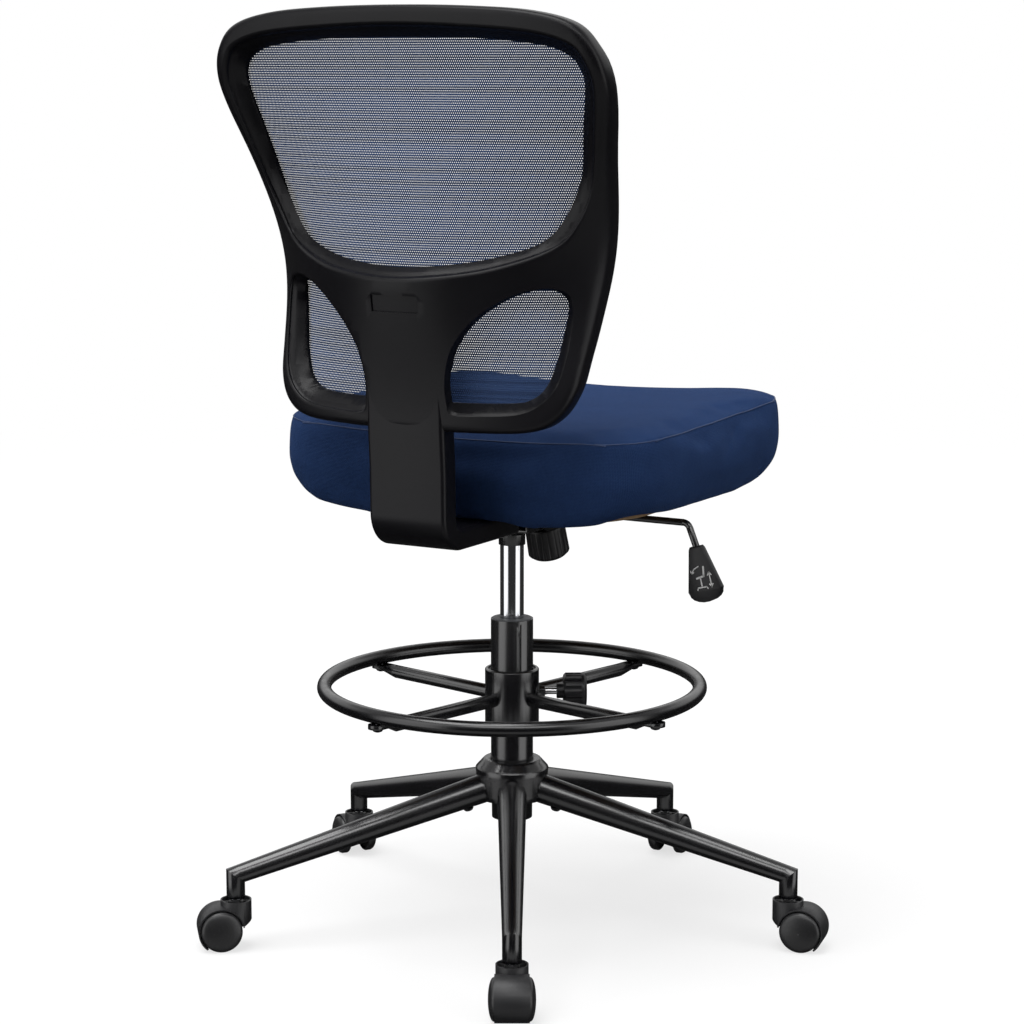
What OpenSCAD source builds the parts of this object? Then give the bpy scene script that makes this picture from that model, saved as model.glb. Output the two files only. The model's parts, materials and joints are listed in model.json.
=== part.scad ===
// Drafting chair: five-star base on twin-wheel casters, tall gas column with a
// clamped foot ring, tilting seat and a curved mesh back on a moulded frame.
// Origin: floor level on the column axis. +Z up, the sitter faces -Y.

/* [Casters] */
// Diameter of a caster wheel
wheel_d = 48; // [44:1:56]
// Width over both wheels of a caster
caster_w = 52; // [48:1:60]
// Gap between the two wheels
wheel_gap = 24; // [22:1:26]
// Distance from the stem axis back to the axle
caster_trail = 18; // [14:1:22]
// Width of the hood that covers the wheels
hood_w = 38; // [34:1:42]
// Diameter of the hood's cup around the stem
cup_d = 36; // [32:1:38]
// Diameter of the stem
stem_d = 11; // [10:0.5:12]
// Diameter of the axle
axle_d = 6; // [5:0.5:8]

/* [Base] */
// Radius from the column to each caster stem
base_r = 337; // [300:1:360]
// Height of the stub above the floor
stub_z = 60; // [58:1:66]
// Height of the leg's centre line at its tip
leg_tip_z = 86; // [84:1:92]
// Height of the leg's centre line where it meets the hub
leg_hub_z = 168; // [164:1:172]
// Diameter of a leg at the hub
leg_hub_d = 35.5; // [30:0.5:37]
// Diameter of a leg at its tip
leg_tip_d = 21.6; // [20:0.2:26]
// Wall of the leg tube
leg_wall = 1.8; // [1.2:0.1:2.4]
// Diameter of the hub
hub_d = 87; // [80:1:96]
// Height of the hub
hub_h = 48; // [46:1:56]
// Height of the hub's lower face above the floor
hub_z = 152; // [146:1:154]

/* [Column] */
// Diameter of the outer column tube
column_d = 50; // [46:1:54]
// Wall of the column tube
column_wall = 1.5; // [1.2:0.1:3]
// Height of the top of the column tube
column_top = 369; // [365:1:370]
// Diameter of the gas cylinder
cylinder_d = 28; // [26:1:30]
// Diameter of the piston rod
rod_d = 10; // [8:1:12]
// Travel down from this height
travel_down = 85; // [60:1:85]
// Travel up from this height
travel_up = 100; // [80:1:100]

/* [Foot ring] */
// Radius of the foot ring's centre line
ring_r = 222; // [190:1:224]
// Diameter of the ring's tube
ring_tube_d = 17; // [14:1:20]
// Height of the ring's centre line
ring_z = 288.5; // [286:0.5:292]
// Diameter of a spoke
spoke_d = 16; // [12:1:18]
// Outer diameter of the ring's hub
ring_hub_d = 64; // [62:1:70]
// Height of the ring's hub
ring_hub_h = 71; // [60:1:74]
// Diameter of the clamp knob
clamp_d = 43; // [36:1:46]
// Length of the clamp knob
clamp_l = 27; // [20:1:30]

/* [Mechanism] */
// Height of the seat plate's upper face
plate_z = 508; // [508:1:512]
// Sheet thickness of the housing and the plate
sheet = 3; // [2:0.5:3]
// Width inside the tilt housing
housing_w = 76; // [70:1:84]
// Distance of the tilt pivot in front of the column
pivot_y = 22; // [20:1:24]
// Height of the tilt pivot
pivot_z = 484; // [483:0.5:485]
// Diameter of the tilt pin
pivot_d = 8; // [6:1:10]
// Lean of the tension knob's axis
knob_lean = 18; // [12:1:20]
// Diameter of the tension knob
knob_d = 50; // [44:1:54]
// Height of the tension knob
knob_h = 40; // [34:1:42]
// Diameter of the lever's rod
lever_d = 8; // [6:1:9]
// Distance from the column to the lever's bend
lever_reach = 219; // [200:1:235]

/* [Seat] */
// Width of the seat cushion
seat_w = 494; // [440:2:540]
// Front edge of the cushion, in front of the column
seat_front = 278; // [250:2:300]
// Rear edge of the cushion, behind the column
seat_rear = 152; // [130:2:160]
// Height of the cushion's seam above the plate
seam_h = 100; // [80:1:110]
// Rise of the crown above the seam
crown_h = 11; // [6:1:30]
// Thickness of the seat board
board_t = 12; // [9:1:15]

/* [Back] */
// How much wider the back frame is than the seat
back_extra = -2; // [-20:2:20]
// Height of the frame's lower edge
back_bottom = 620; // [612:2:640]
// Height of the frame
back_h = 457; // [400:1:480]
// Thickness of the frame from rear to front
frame_t = 26; // [22:1:30]
// Distance of the frame's rear face behind the column, at the spine
back_y = 235; // [228:1:245]
// How far the centre leans back above the spine
back_lean = 30; // [10:1:40]
// How far the lumbar curve brings the sides forward
side_wrap = 71; // [40:1:80]
// How far the sides fall back again from the lumbar curve to the top
flare_top = 83; // [50:1:90]
// How far the sides fall back again from the lumbar curve to the lower edge
flare_foot = 42; // [20:1:60]
// Width of the spine
spine_w = 98; // [80:1:110]
// Thickness of the spine
spine_t = 28; // [22:1:32]
// Thickness of the foot that bolts under the seat
foot_t = 24; // [16:1:28]
// Outer radius of the bend from spine to foot
foot_r = 40; // [36:1:50]

/* [Hidden] */

$fn = 64;
fit = 0.05; // radial clearance of a running fit
gap = 0.3; // clearance of a soft or loosely seated piece
eps = 0.02;
m6 = 3; // radius of an M6 bolt

// Directions round the column
leg_turn = 120; // direction of the first leg
leg_count = 5;
caster_swing = [0, 0, 11, -11, -8]; // how far each caster stands off its leg's direction
spoke_turn = 77;
spoke_count = 4;

function leg_dir(i) = leg_turn + (i - 1) * 360 / leg_count;
function caster_dir(i) = leg_dir(i) + caster_swing[i - 1];
function spoke_dir(i) = spoke_turn + (i - 1) * 360 / spoke_count;

// ---- general shapes ----
module tube(r_out, r_in, z0, z1) {
    difference() {
        translate([0, 0, z0]) cylinder(r = r_out, h = z1 - z0);
        translate([0, 0, z0 - 1]) cylinder(r = r_in, h = z1 - z0 + 2);
    }
}

module rod_x(r, x0, x1) {
    translate([x0, 0, 0]) rotate([0, 90, 0]) cylinder(r = r, h = x1 - x0);
}

module box(lo, hi) {
    translate(lo) cube(hi - lo);
}

// The faces between m rings of n points each
function side_faces(m, n) = [for (i = [0:m - 2], j = [0:n - 1]) each [
    [i * n + j, i * n + (j + 1) % n, (i + 1) * n + (j + 1) % n],
    [i * n + j, (i + 1) * n + (j + 1) % n, (i + 1) * n + j]]];

// A domed bolt head standing on z = 0
module bolt_head(r, h) {
    rotate_extrude()
        polygon([[0, 0], [r, 0], [r, 0.3 * h], [0.75 * r, 0.75 * h], [0.4 * r, 0.95 * h], [0, h]]);
}

// A solid through rings that all have the same number of points
module loft(rings) {
    m = len(rings);
    n = len(rings[0]);
    ends = [[for (j = [n - 1:-1:0]) j], [for (j = [0:n - 1]) (m - 1) * n + j]];
    polyhedron(points = [for (r = rings) each r], faces = concat(side_faces(m, n), ends), convexity = 8);
}

function middle(ring) = [for (k = [0:2]) [for (q = ring) q[k]] * [for (q = ring) 1] / len(ring)];

// The same, with each end closed by a fan of triangles round its middle
module fan_loft(rings) {
    m = len(rings);
    n = len(rings[0]);
    ends = [for (j = [0:n - 1]) each [[(j + 1) % n, j, m * n],
        [(m - 1) * n + j, (m - 1) * n + (j + 1) % n, m * n + 1]]];
    polyhedron(points = concat([for (r = rings) each r], [middle(rings[0]), middle(rings[m - 1])]),
        faces = concat(side_faces(m, n), ends), convexity = 8);
}

// Points of a smooth closed curve through p, n to each span
function smooth(p, n) = [for (i = [0:len(p) - 1], k = [0:n - 1])
    let (m = len(p), a = p[(i + m - 1) % m], b = p[i], c = p[(i + 1) % m], d = p[(i + 2) % m], t = k / n)
    0.5 * (2 * b + (c - a) * t + (2 * a - 5 * b + 4 * c - d) * t * t + (3 * b - a - 3 * c + d) * t * t * t)];

// A closed outline from its right half, listed from the top centre to the bottom centre
function both_sides(p) = concat(p, [for (i = [len(p) - 2:-1:1]) [-p[i][0], p[i][1]]]);

// A clockwise outline moved inwards by d
function inset(p, d) = [for (i = [0:len(p) - 1])
    let (m = len(p), t = p[(i + 1) % m] - p[(i + m - 1) % m], l = norm(t)) p[i] + d * [t[1], -t[0]] / l];

function rounded_box(w, h, r, n) = [for (q = [0:3], k = [0:n])
    let (a = q * 90 + k * 90 / n, sx = (q == 0 || q == 3) ? 1 : -1, sy = q < 2 ? 1 : -1)
    [sx * (w / 2 - r) + r * cos(a), sy * (h / 2 - r) + r * sin(a)]];

// ---- casters: made with the stem on the Z axis and the wheels trailing along +X ----
wheel_r = wheel_d / 2;
wheel_in = wheel_gap / 2;
wheel_out = caster_w / 2;
tread_w = 8;
hood_in = wheel_r + 1.2;
hood_out = wheel_r + 3;
web_w = wheel_gap - 1;
cup_top = stub_z - 2.5;
cup_depth = 5;
cup_wall = 1.8;
socket_depth = 30;

module at_caster(i) {
    rotate([0, 0, leg_dir(i)]) translate([base_r, 0, 0])
        rotate([0, 0, caster_dir(i) - leg_dir(i)]) children();
}

module at_axle() {
    translate([caster_trail, 0, wheel_r]) rotate([90, 0, 0]) children();
}

module caster_wheel(side) {
    color("#232326") at_axle() mirror([0, 0, side > 0 ? 0 : 1]) rotate_extrude() difference() {
        polygon(concat(
            [[axle_d / 2 + fit, wheel_in], [wheel_r - 1, wheel_in], [wheel_r, wheel_in + 1],
                [wheel_r, wheel_in + tread_w - 1]],
            [for (k = [1:8]) let (t = k / 8, s = wheel_out - wheel_in - tread_w)
                [(wheel_r - 0.6) * (1 - t * t), wheel_in + tread_w + s * sqrt(1 - pow(1 - t * t, 2))]]));
        translate([0, wheel_in - 1]) square([axle_d / 2 + fit, wheel_out - wheel_in - 1]);
        translate([axle_d + 2, wheel_in - 1]) square([wheel_r - axle_d - 5, 4]);
    }
}

module caster_hood() {
    rib_n = 6;
    color("#29292c") difference() {
        union() {
            at_axle() translate([0, 0, -hood_w / 2]) cylinder(r = hood_out, h = hood_w);
            translate([0, 0, wheel_r - 3]) cylinder(r = cup_d / 2, h = cup_top - wheel_r + 3);
        }
        for (s = [-1, 1]) at_axle() translate([0, 0, s > 0 ? web_w / 2 : -web_w / 2 - wheel_out])
            cylinder(r = hood_in, h = wheel_out);
        // open below the trailing side and under the cup
        translate([caster_trail, 0, wheel_r]) rotate([0, 30, 0])
            box([-2 * wheel_d, -wheel_out, -2 * wheel_d], [2 * wheel_d, wheel_out, -hood_in / 2.2 + 2]);
        translate([-cup_d / 2 + 1, 0, wheel_r + 9]) rotate([0, 45, 0])
            box([-wheel_d, -wheel_out, -wheel_d], [wheel_d / 3, wheel_out, 0]);
        at_axle() translate([0, 0, -wheel_out]) cylinder(r = axle_d / 2 + fit, h = caster_w);
        // recessed cup with ribs
        difference() {
            translate([0, 0, cup_top - cup_depth]) cylinder(r = cup_d / 2 - cup_wall, h = cup_depth + 1);
            translate([0, 0, cup_top - cup_depth - 1]) cylinder(r = stem_d / 2 + 3, h = cup_depth - 1);
            for (k = [0:rib_n - 1]) rotate([0, 0, k * 360 / rib_n])
                box([0, -0.8, cup_top - cup_depth - 1], [cup_d / 2, 0.8, cup_top - 2]);
        }
        translate([0, 0, wheel_r + axle_d / 2 + 3]) cylinder(r = stem_d / 2 + fit, h = wheel_d);
    }
}

module caster_pins() {
    color("silver") {
        translate([0, 0, wheel_r + axle_d / 2 + 4])
            cylinder(r = stem_d / 2, h = stub_z + socket_depth - 2 - wheel_r - axle_d / 2 - 4);
        translate([0, 0, cup_top + gap]) cylinder(r = stem_d / 2 + 2.5, h = stub_z - cup_top - 2 * gap);
        at_axle() translate([0, 0, -wheel_out + 4]) cylinder(r = axle_d / 2, h = caster_w - 8);
    }
}

// ---- base ----
hub_r = hub_d / 2;
hub_taper = 3.5; // how much smaller the hub is at its foot
hub_top = hub_z + hub_h;
hub_chamfer = 11;
hub_start = 26; // where the leg's centre line begins, inside the hub
leg_slope = atan2(leg_hub_z - leg_tip_z, base_r - hub_start);
leg_len = norm([base_r - hub_start, leg_hub_z - leg_tip_z]);
leg_bolt_at = 34; // distance along the leg from its start to its bolt
column_r = column_d / 2;
column_foot = hub_z - 24;
column_taper = 1; // how much narrower the column is at its foot

module hub_outside() {
    rotate_extrude() polygon([[0, hub_z], [hub_r - hub_taper, hub_z], [hub_r, hub_top - hub_chamfer],
        [column_r + 8.5, hub_top], [0, hub_top]]);
}

module column_outside(grow) {
    translate([0, 0, hub_top + 4]) cylinder(r = column_r + grow, h = column_top - hub_top - 4);
    translate([0, 0, column_foot])
        cylinder(r1 = column_r - column_taper + grow, r2 = column_r + grow, h = hub_top + 4 - column_foot);
}

module base_hub() {
    color("#1c1c1e") difference() {
        hub_outside();
        column_outside(fit);
    }
}

module along_leg() {
    translate([hub_start, 0, leg_hub_z]) rotate([0, leg_slope, 0]) children();
}

module leg_cone(shrink, from, to) {
    r_at = function (s) leg_hub_d / 2 + (leg_tip_d - leg_hub_d) / 2 * s / leg_len - shrink;
    along_leg() translate([from, 0, 0]) rotate([0, 90, 0])
        cylinder(r1 = r_at(from), r2 = r_at(to), h = to - from);
}

// Everything past the mitre where the leg turns down into its stub
module beyond_mitre(side) {
    translate([base_r, 0, leg_tip_z]) rotate([0, (90 + leg_slope) / 2, 0])
        box([side > 0 ? 0 : -leg_hub_d * 3, -leg_hub_d, -leg_hub_d * 3],
            [side > 0 ? leg_hub_d * 3 : 0, leg_hub_d, leg_hub_d * 3]);
}

module base_leg(i) {
    color("#1f1f21") rotate([0, 0, leg_dir(i)]) difference() {
        union() {
            difference() {
                leg_cone(0, 0, leg_len + leg_tip_d);
                beyond_mitre(1);
            }
            difference() {
                translate([base_r, 0, stub_z])
                    cylinder(r = leg_tip_d / 2, h = leg_tip_z - stub_z + leg_tip_d);
                beyond_mitre(-1);
            }
        }
        hub_outside();
        column_outside(fit);
        leg_cone(leg_wall, -5, leg_len - leg_tip_d * 1.5);
        translate([base_r, 0, stub_z - 1]) cylinder(r = stem_d / 2 + fit, h = socket_depth + 1);
        along_leg() translate([leg_bolt_at, 0, -leg_hub_d]) cylinder(r = m6 + 2 * fit, h = leg_hub_d);
    }
}

module leg_bolts() {
    wall_at = leg_hub_d / 2 + (leg_tip_d - leg_hub_d) / 2 * leg_bolt_at / leg_len;
    color("#161618") for (i = [1:leg_count]) rotate([0, 0, leg_dir(i)]) along_leg()
        translate([leg_bolt_at, 0, -wall_at]) {
            translate([0, 0, -1]) cylinder(r = m6, h = 9);
            translate([0, 0, -gap]) rotate([180, 0, 0]) bolt_head(6, 4);
        }
}

// ---- column ----
tube_in = column_r - column_wall;
floor_t = 5;
bearing_h = 8;
cylinder_r = cylinder_d / 2;
rod_r = rod_d / 2;
shoulder_z = column_foot + floor_t + bearing_h;
shoulder_t = 3;
cylinder_foot = shoulder_z + shoulder_t + 1 + travel_down;
gland_h = 12;
bore_r = cylinder_r - 2.5;
bush_len = 84;
socket_z = 457.6; // where the cylinder enters the tilt housing's socket
taper_top = 493;
valve_r = 4;
valve_top = taper_top + 4;
valve_foot = taper_top - 27;
cylinder_plug = cylinder_foot + travel_down + 127; // lower face of the solid head
piston_top = cylinder_plug - travel_down - 1;
piston_h = 12;
clip_t = 2;
clip_z = column_foot - 3;
clip_in = rod_r - 1;

module column_tube() {
    dimple_z = column_top - 17;
    color("#1d1d1f") difference() {
        column_outside(0);
        translate([0, 0, column_foot + floor_t])
            cylinder(r = tube_in - column_taper, h = hub_top + 4 - column_foot - floor_t);
        translate([0, 0, hub_top + 3]) cylinder(r = tube_in, h = column_top - hub_top);
        translate([0, 0, column_foot - 1]) cylinder(r = rod_r + fit, h = floor_t + 2);
        rotate([0, 0, leg_turn + 20]) translate([column_r + 1.1, 0, dimple_z]) sphere(r = 2);
    }
}

module guide_bush() {
    color("#6f7175") tube(tube_in - fit, cylinder_r + fit, column_top - bush_len, column_top + 1);
}

module thrust_bearing() {
    balls = 10;
    race_t = 2;
    z0 = column_foot + floor_t;
    mid_r = rod_r + 4.5;
    color("silver") {
        tube(mid_r + 4, rod_r + 0.3, z0, z0 + race_t);
        tube(mid_r + 4, rod_r + 0.3, z0 + bearing_h - race_t, z0 + bearing_h - eps);
        for (k = [0:balls - 1]) rotate([0, 0, k * 360 / balls])
            translate([mid_r, 0, z0 + bearing_h / 2]) sphere(r = bearing_h / 2 - race_t - eps);
    }
}

module piston_rod() {
    color("silver") {
        difference() {
            translate([0, 0, column_foot - 6])
                cylinder(r = rod_r, h = piston_top - piston_h - column_foot + 6);
            tube(rod_r + 1, clip_in - fit, clip_z - fit, clip_z + clip_t + fit);
        }
        translate([0, 0, shoulder_z]) cylinder(r = rod_r + 4, h = shoulder_t);
        translate([0, 0, piston_top - piston_h]) cylinder(r = bore_r - fit, h = piston_h);
    }
}

module rod_clip() {
    color("dimgray") difference() {
        tube(rod_r + 5, clip_in, clip_z, clip_z + clip_t);
        box([0, -clip_in + 0.4, clip_z - 1], [2 * rod_r + 2, clip_in - 0.4, clip_z + clip_t + 1]);
    }
}

module gas_cylinder() {
    taper = 0.8;
    color("#c9ccd2") difference() {
        union() {
            translate([0, 0, cylinder_foot]) cylinder(r = cylinder_r, h = socket_z - cylinder_foot);
            translate([0, 0, socket_z])
                cylinder(r1 = cylinder_r, r2 = cylinder_r - taper, h = taper_top - socket_z);
        }
        translate([0, 0, cylinder_foot - 1]) cylinder(r = rod_r + fit, h = gland_h + 2);
        translate([0, 0, cylinder_foot + gland_h])
            cylinder(r = bore_r, h = cylinder_plug - cylinder_foot - gland_h);
        translate([0, 0, valve_foot - 8]) cylinder(r = valve_r + fit, h = taper_top - valve_foot + 9);
    }
}

module valve_pin() {
    dome = 8;
    color("silver") intersection() {
        translate([0, 0, valve_foot]) cylinder(r = valve_r, h = valve_top - valve_foot);
        translate([0, 0, valve_top - dome]) union() {
            sphere(r = dome);
            translate([0, 0, -60]) cylinder(r = valve_r + 1, h = 60);
        }
    }
}

// ---- foot ring ----
spoke_z = ring_z - ring_tube_d / 2 - spoke_d / 2 + 2.5;
flat_t = 5;
flat_top = ring_z - ring_tube_d / 2;
ring_hub_r = ring_hub_d / 2;
ring_hub_top = ring_z + 21;
liner_r = (column_r + ring_hub_r) / 2 - 0.5;
clamp_dir = spoke_turn + 135;
clamp_z = ring_z - 8;
clamp_gap = 61 - 32; // bare length between hub and knob
stud_r = 4;
nut_l = 7;

module ring_tube() {
    color("#1d1d1f") translate([0, 0, ring_z]) difference() {
        rotate_extrude($fn = 128) translate([ring_r, 0]) circle(d = ring_tube_d);
        for (i = [1:spoke_count]) rotate([0, 0, spoke_dir(i)])
            translate([ring_r, 0, -ring_tube_d]) cylinder(r = m6 + 2 * fit, h = ring_tube_d);
    }
}

module ring_spoke(i) {
    flat_from = ring_r - 12;
    press_l = 16; // length over which the round rod is pressed flat
    color("#1d1d1f") rotate([0, 0, spoke_dir(i)]) difference() {
        union() {
            translate([0, 0, spoke_z]) rod_x(spoke_d / 2, ring_hub_r - 4, flat_from - press_l);
            hull() {
                translate([0, 0, spoke_z])
                    rod_x(spoke_d / 2, flat_from - press_l - 1, flat_from - press_l, $fn = 32);
                box([flat_from - 1, -spoke_d * 0.6, flat_top - flat_t], [flat_from, spoke_d * 0.6, flat_top]);
            }
            box([flat_from - 0.5, -spoke_d * 0.6, flat_top - flat_t], [ring_r + 2, spoke_d * 0.6, flat_top]);
            translate([ring_r + 2, 0, flat_top - flat_t]) cylinder(r = spoke_d * 0.6, h = flat_t);
        }
        cylinder(r = ring_hub_r, h = 2 * ring_z);
        translate([ring_r, 0, 0]) cylinder(r = m6 + 2 * fit, h = ring_z);
    }
}

module ring_bolts() {
    color("#161618") for (i = [1:spoke_count]) rotate([0, 0, spoke_dir(i)])
        translate([ring_r, 0, flat_top - flat_t]) {
            cylinder(r = m6, h = flat_t + 6);
            rotate([180, 0, 0]) bolt_head(6.5, 4.5);
        }
}

module ring_hub() {
    bevel = 1.5;
    color("#1d1d1f") difference() {
        union() {
            rotate_extrude() polygon([
                [liner_r + fit, ring_hub_top - ring_hub_h], [ring_hub_r - bevel, ring_hub_top - ring_hub_h],
                [ring_hub_r, ring_hub_top - ring_hub_h + bevel], [ring_hub_r, ring_hub_top - bevel],
                [ring_hub_r - bevel, ring_hub_top], [liner_r + fit, ring_hub_top]]);
            rotate([0, 0, clamp_dir]) translate([0, 0, clamp_z]) difference() {
                rod_x(nut_l, liner_r + 1.5, ring_hub_r + nut_l, $fn = 6);
                translate([0, 0, -nut_l * 2]) cylinder(r = liner_r + fit, h = nut_l * 4);
            }
        }
        rotate([0, 0, clamp_dir]) translate([0, 0, clamp_z]) rod_x(stud_r + fit, 0, ring_hub_r * 2);
    }
}

module ring_bush() {
    slit = 2;
    color("#3a3a3e") difference() {
        tube(liner_r, column_r + fit, ring_hub_top - ring_hub_h + 2, ring_hub_top - 2);
        rotate([0, 0, clamp_dir + 90]) box([0, -slit / 2, 0], [ring_hub_r, slit / 2, ring_hub_top]);
    }
}

module clamp_stud() {
    color("silver") rotate([0, 0, clamp_dir]) translate([0, 0, clamp_z])
        rod_x(stud_r, liner_r + gap, ring_hub_r + clamp_gap + 12);
}

module clamp_knob() {
    lobes = 10;
    neck = 8;
    r = clamp_d / 2;
    color("#202023") rotate([0, 0, clamp_dir]) translate([ring_hub_r + clamp_gap, 0, clamp_z])
        rotate([0, 90, 0]) difference() {
            rotate_extrude() polygon([[0, -neck], [9, -neck], [9, 0], [r - 2.5, 0], [r, 2.5],
                [r, clamp_l - 3], [r - 4, clamp_l], [0, clamp_l + 1]]);
            for (k = [0:lobes - 1]) rotate([0, 0, k * 360 / lobes])
                translate([r + 4.6, 0, -1]) cylinder(r = 6.5, h = clamp_l * 0.8);
            translate([0, 0, -neck - 1]) cylinder(r = stud_r + eps, h = neck + 13 + 1);
        }
}

// ---- tilt mechanism ----
wall_in = housing_w / 2;
wall_out = wall_in + sheet - 0.5;
flange_in = wall_out + 1;
flange_out = flange_in + sheet;
pan_z = 478;
knob_foot = [0, -90, 432]; // centre of the knob's lower face
lip_w = 60; // distance along the knob's axis to the housing's lip
bolt_r = 5; // the tension bolt
lever_z = 498;
collar_r = 6.5;
fulcrum_x = -(wall_in + wall_out) / 2;
plate_w = 190;
plate_front = 96;
plate_rear = 62;
bolt_span_x = 160;
bolt_span_y = 120;
bolt_mid_y = -20;

module along_knob() {
    translate(knob_foot) rotate([-knob_lean, 0, 0]) children();
}

function lip_z(y, w) = let (c = cos(knob_lean), s = sin(knob_lean))
    knob_foot[2] + w * c - (y - knob_foot[1] - w * s) * s / c;

lip_front = -97;
lip_rear = -37;

module housing_side_profile() {
    polygon([[34, pan_z], [lip_rear, pan_z], [lip_front, lip_z(lip_front, lip_w)],
        [lip_front, lip_z(lip_front, lip_w) + sheet], [-62, plate_z - 9], [-pivot_y - 12, plate_z - 6],
        [-pivot_y + 10, plate_z - 7], [34, pan_z + 10]]);
}

module tilt_housing() {
    socket_r = 15.75;
    dish_r = 22;
    color("#1b1b1d") difference() {
        union() {
            // folded pan: floor, lip and two side walls
            for (s = [-1, 1]) translate([s > 0 ? wall_in : -wall_out, 0, 0])
                rotate([90, 0, 90]) linear_extrude(wall_out - wall_in) housing_side_profile();
            translate([-wall_in, 0, 0]) rotate([90, 0, 90]) linear_extrude(housing_w) polygon([
                [34, pan_z], [lip_rear, pan_z], [lip_front, lip_z(lip_front, lip_w)],
                [lip_front, lip_z(lip_front, lip_w) + sheet], [lip_rear + 1, pan_z + sheet],
                [34, pan_z + sheet]]);
            // socket for the gas cylinder with its dished collar
            rotate_extrude() polygon([[0, socket_z], [socket_r, socket_z], [socket_r, pan_z - 8],
                [dish_r, pan_z - 4], [dish_r + 2, pan_z + 1], [socket_r + 2, pan_z + sheet + 1],
                [socket_r, taper_top], [0, taper_top]]);
        }
        translate([0, 0, socket_z - eps])
            cylinder(r1 = cylinder_r + fit, r2 = cylinder_r - 0.8 + fit, h = taper_top - socket_z + 2 * eps);
        translate([0, -pivot_y, pivot_z]) rod_x(pivot_d / 2 + fit, -wall_out - 1, wall_out + 1);
        translate([0, -pivot_y, lever_z]) rod_x(collar_r + gap, -wall_out - 1, -wall_in + 1);
        along_knob() translate([0, 0, lip_w - 15]) for (d = [-4, 0, 4])
            translate([0, d, 0]) cylinder(r = bolt_r + 1, h = 40);
    }
}

module tilt_pin() {
    head = 2.5;
    color("silver") translate([0, -pivot_y, pivot_z]) {
        rod_x(pivot_d / 2, -flange_out - 1.5, flange_out + 1.5);
        for (s = [-1, 1]) rod_x(pivot_d / 2 + 2, s > 0 ? flange_out + gap : -flange_out - gap - head,
            s > 0 ? flange_out + gap + head : -flange_out - gap);
    }
}

spring_r = 17;
spring_wire = 4;
spring_turns = 5;
spring_foot = 8;

module tilt_spring() {
    per_turn = 18;
    sides = 6;
    len_z = lip_w - spring_foot - spring_wire - 2 * gap;
    n = spring_turns * per_turn;
    color("#8b8f96") along_knob() translate([0, 0, spring_foot + spring_wire / 2 + gap])
        loft([for (i = [0:n]) let (a = i * 360 / per_turn, t = i / n, ease = min(1, 4 * t, 4 * (1 - t)))
            [for (k = [0:sides - 1]) let (b = k * 360 / sides, r = spring_r + spring_wire / 2 * cos(b))
                [r * cos(a), r * sin(a), len_z * t + spring_wire / 2 * sin(b)]]]);
}

head_z = plate_z - sheet - 6; // the cross pin at the bolt's head
head_y = knob_foot[1] + (head_z - knob_foot[2]) * tan(knob_lean);
ear_x = 9;
ear_t = 3;

module tension_bolt() {
    start = 5;
    color("silver") {
        along_knob() translate([0, 0, start])
            cylinder(r = bolt_r, h = (head_z - knob_foot[2]) / cos(knob_lean) - 2 - start);
        translate([0, head_y, head_z]) rod_x(bolt_r, -ear_x - 2, ear_x + 2);
    }
}

module tension_knob() {
    flutes = 20;
    r0 = knob_d / 2;
    wall = 3.2;
    color("#1e1e21") along_knob() difference() {
        rotate_extrude() polygon([[bolt_r + fit, 0], [r0 - 4, 0], [r0, 3.5], [r0 - 1, knob_h],
            [r0 - 1 - wall, knob_h], [r0 - wall, spring_foot], [bolt_r + fit, spring_foot]]);
        for (k = [0:flutes - 1]) rotate([0, 0, k * 360 / flutes])
            translate([r0 + 1.3, 0, 4]) cylinder(r = 2.4, h = knob_h);
    }
}

module seat_bolt_places() {
    for (sx = [-1, 1], sy = [-1, 1]) translate([sx * bolt_span_x / 2, bolt_mid_y + sy * bolt_span_y / 2, 0])
        children();
}

module seat_plate() {
    color("#1b1b1d") difference() {
        union() {
            box([-plate_w / 2, -plate_front, plate_z - sheet], [plate_w / 2, plate_rear, plate_z]);
            for (s = [-1, 1]) translate([s > 0 ? flange_in : -flange_out, 0, 0]) rotate([90, 0, 90])
                linear_extrude(sheet) polygon([[-plate_front + 14, plate_z - sheet],
                    [-pivot_y - 14, pivot_z - 9], [-pivot_y + 14, pivot_z - 9],
                    [plate_rear - 8, plate_z - sheet], [plate_rear - 8, plate_z],
                    [-plate_front + 14, plate_z]]);
            // ears that hold the head of the tension bolt
            for (s = [-1, 1]) translate([s * ear_x - ear_t / 2, 0, 0]) rotate([90, 0, 90])
                linear_extrude(ear_t) polygon([[head_y - ear_x, lip_z(head_y - ear_x, lip_w) + sheet + 1],
                    [head_y + ear_x, lip_z(head_y + ear_x, lip_w) + sheet + 1],
                    [head_y + ear_x, plate_z - sheet], [head_y - ear_x, plate_z - sheet]]);
        }
        seat_bolt_places() translate([0, 0, plate_z - 10]) cylinder(r = m6 + 0.4, h = 20);
        // window over the valve and notch for the lever
        box([-32, -12, plate_z - 10], [20, 20, plate_z + 1]);
        box([-flange_out - 1, -pivot_y - 8, lever_z - 6],
            [-flange_in + 1, -pivot_y + 8, plate_z - sheet + 0.5]);
        translate([0, -pivot_y, pivot_z]) rod_x(pivot_d / 2 + fit, -flange_out - 1, flange_out + 1);
        translate([0, head_y, head_z]) rod_x(bolt_r + fit, -ear_x - ear_t, ear_x + ear_t);
    }
}

// ---- height lever ----
tab_t = 3;
lever_lean = 22;
paddle_lean = 15;
drop_len = 30;
bend_r = 9;
lever_in = -14;

module lever_bend() {
    translate([-lever_reach, -pivot_y, lever_z]) children();
}

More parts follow.
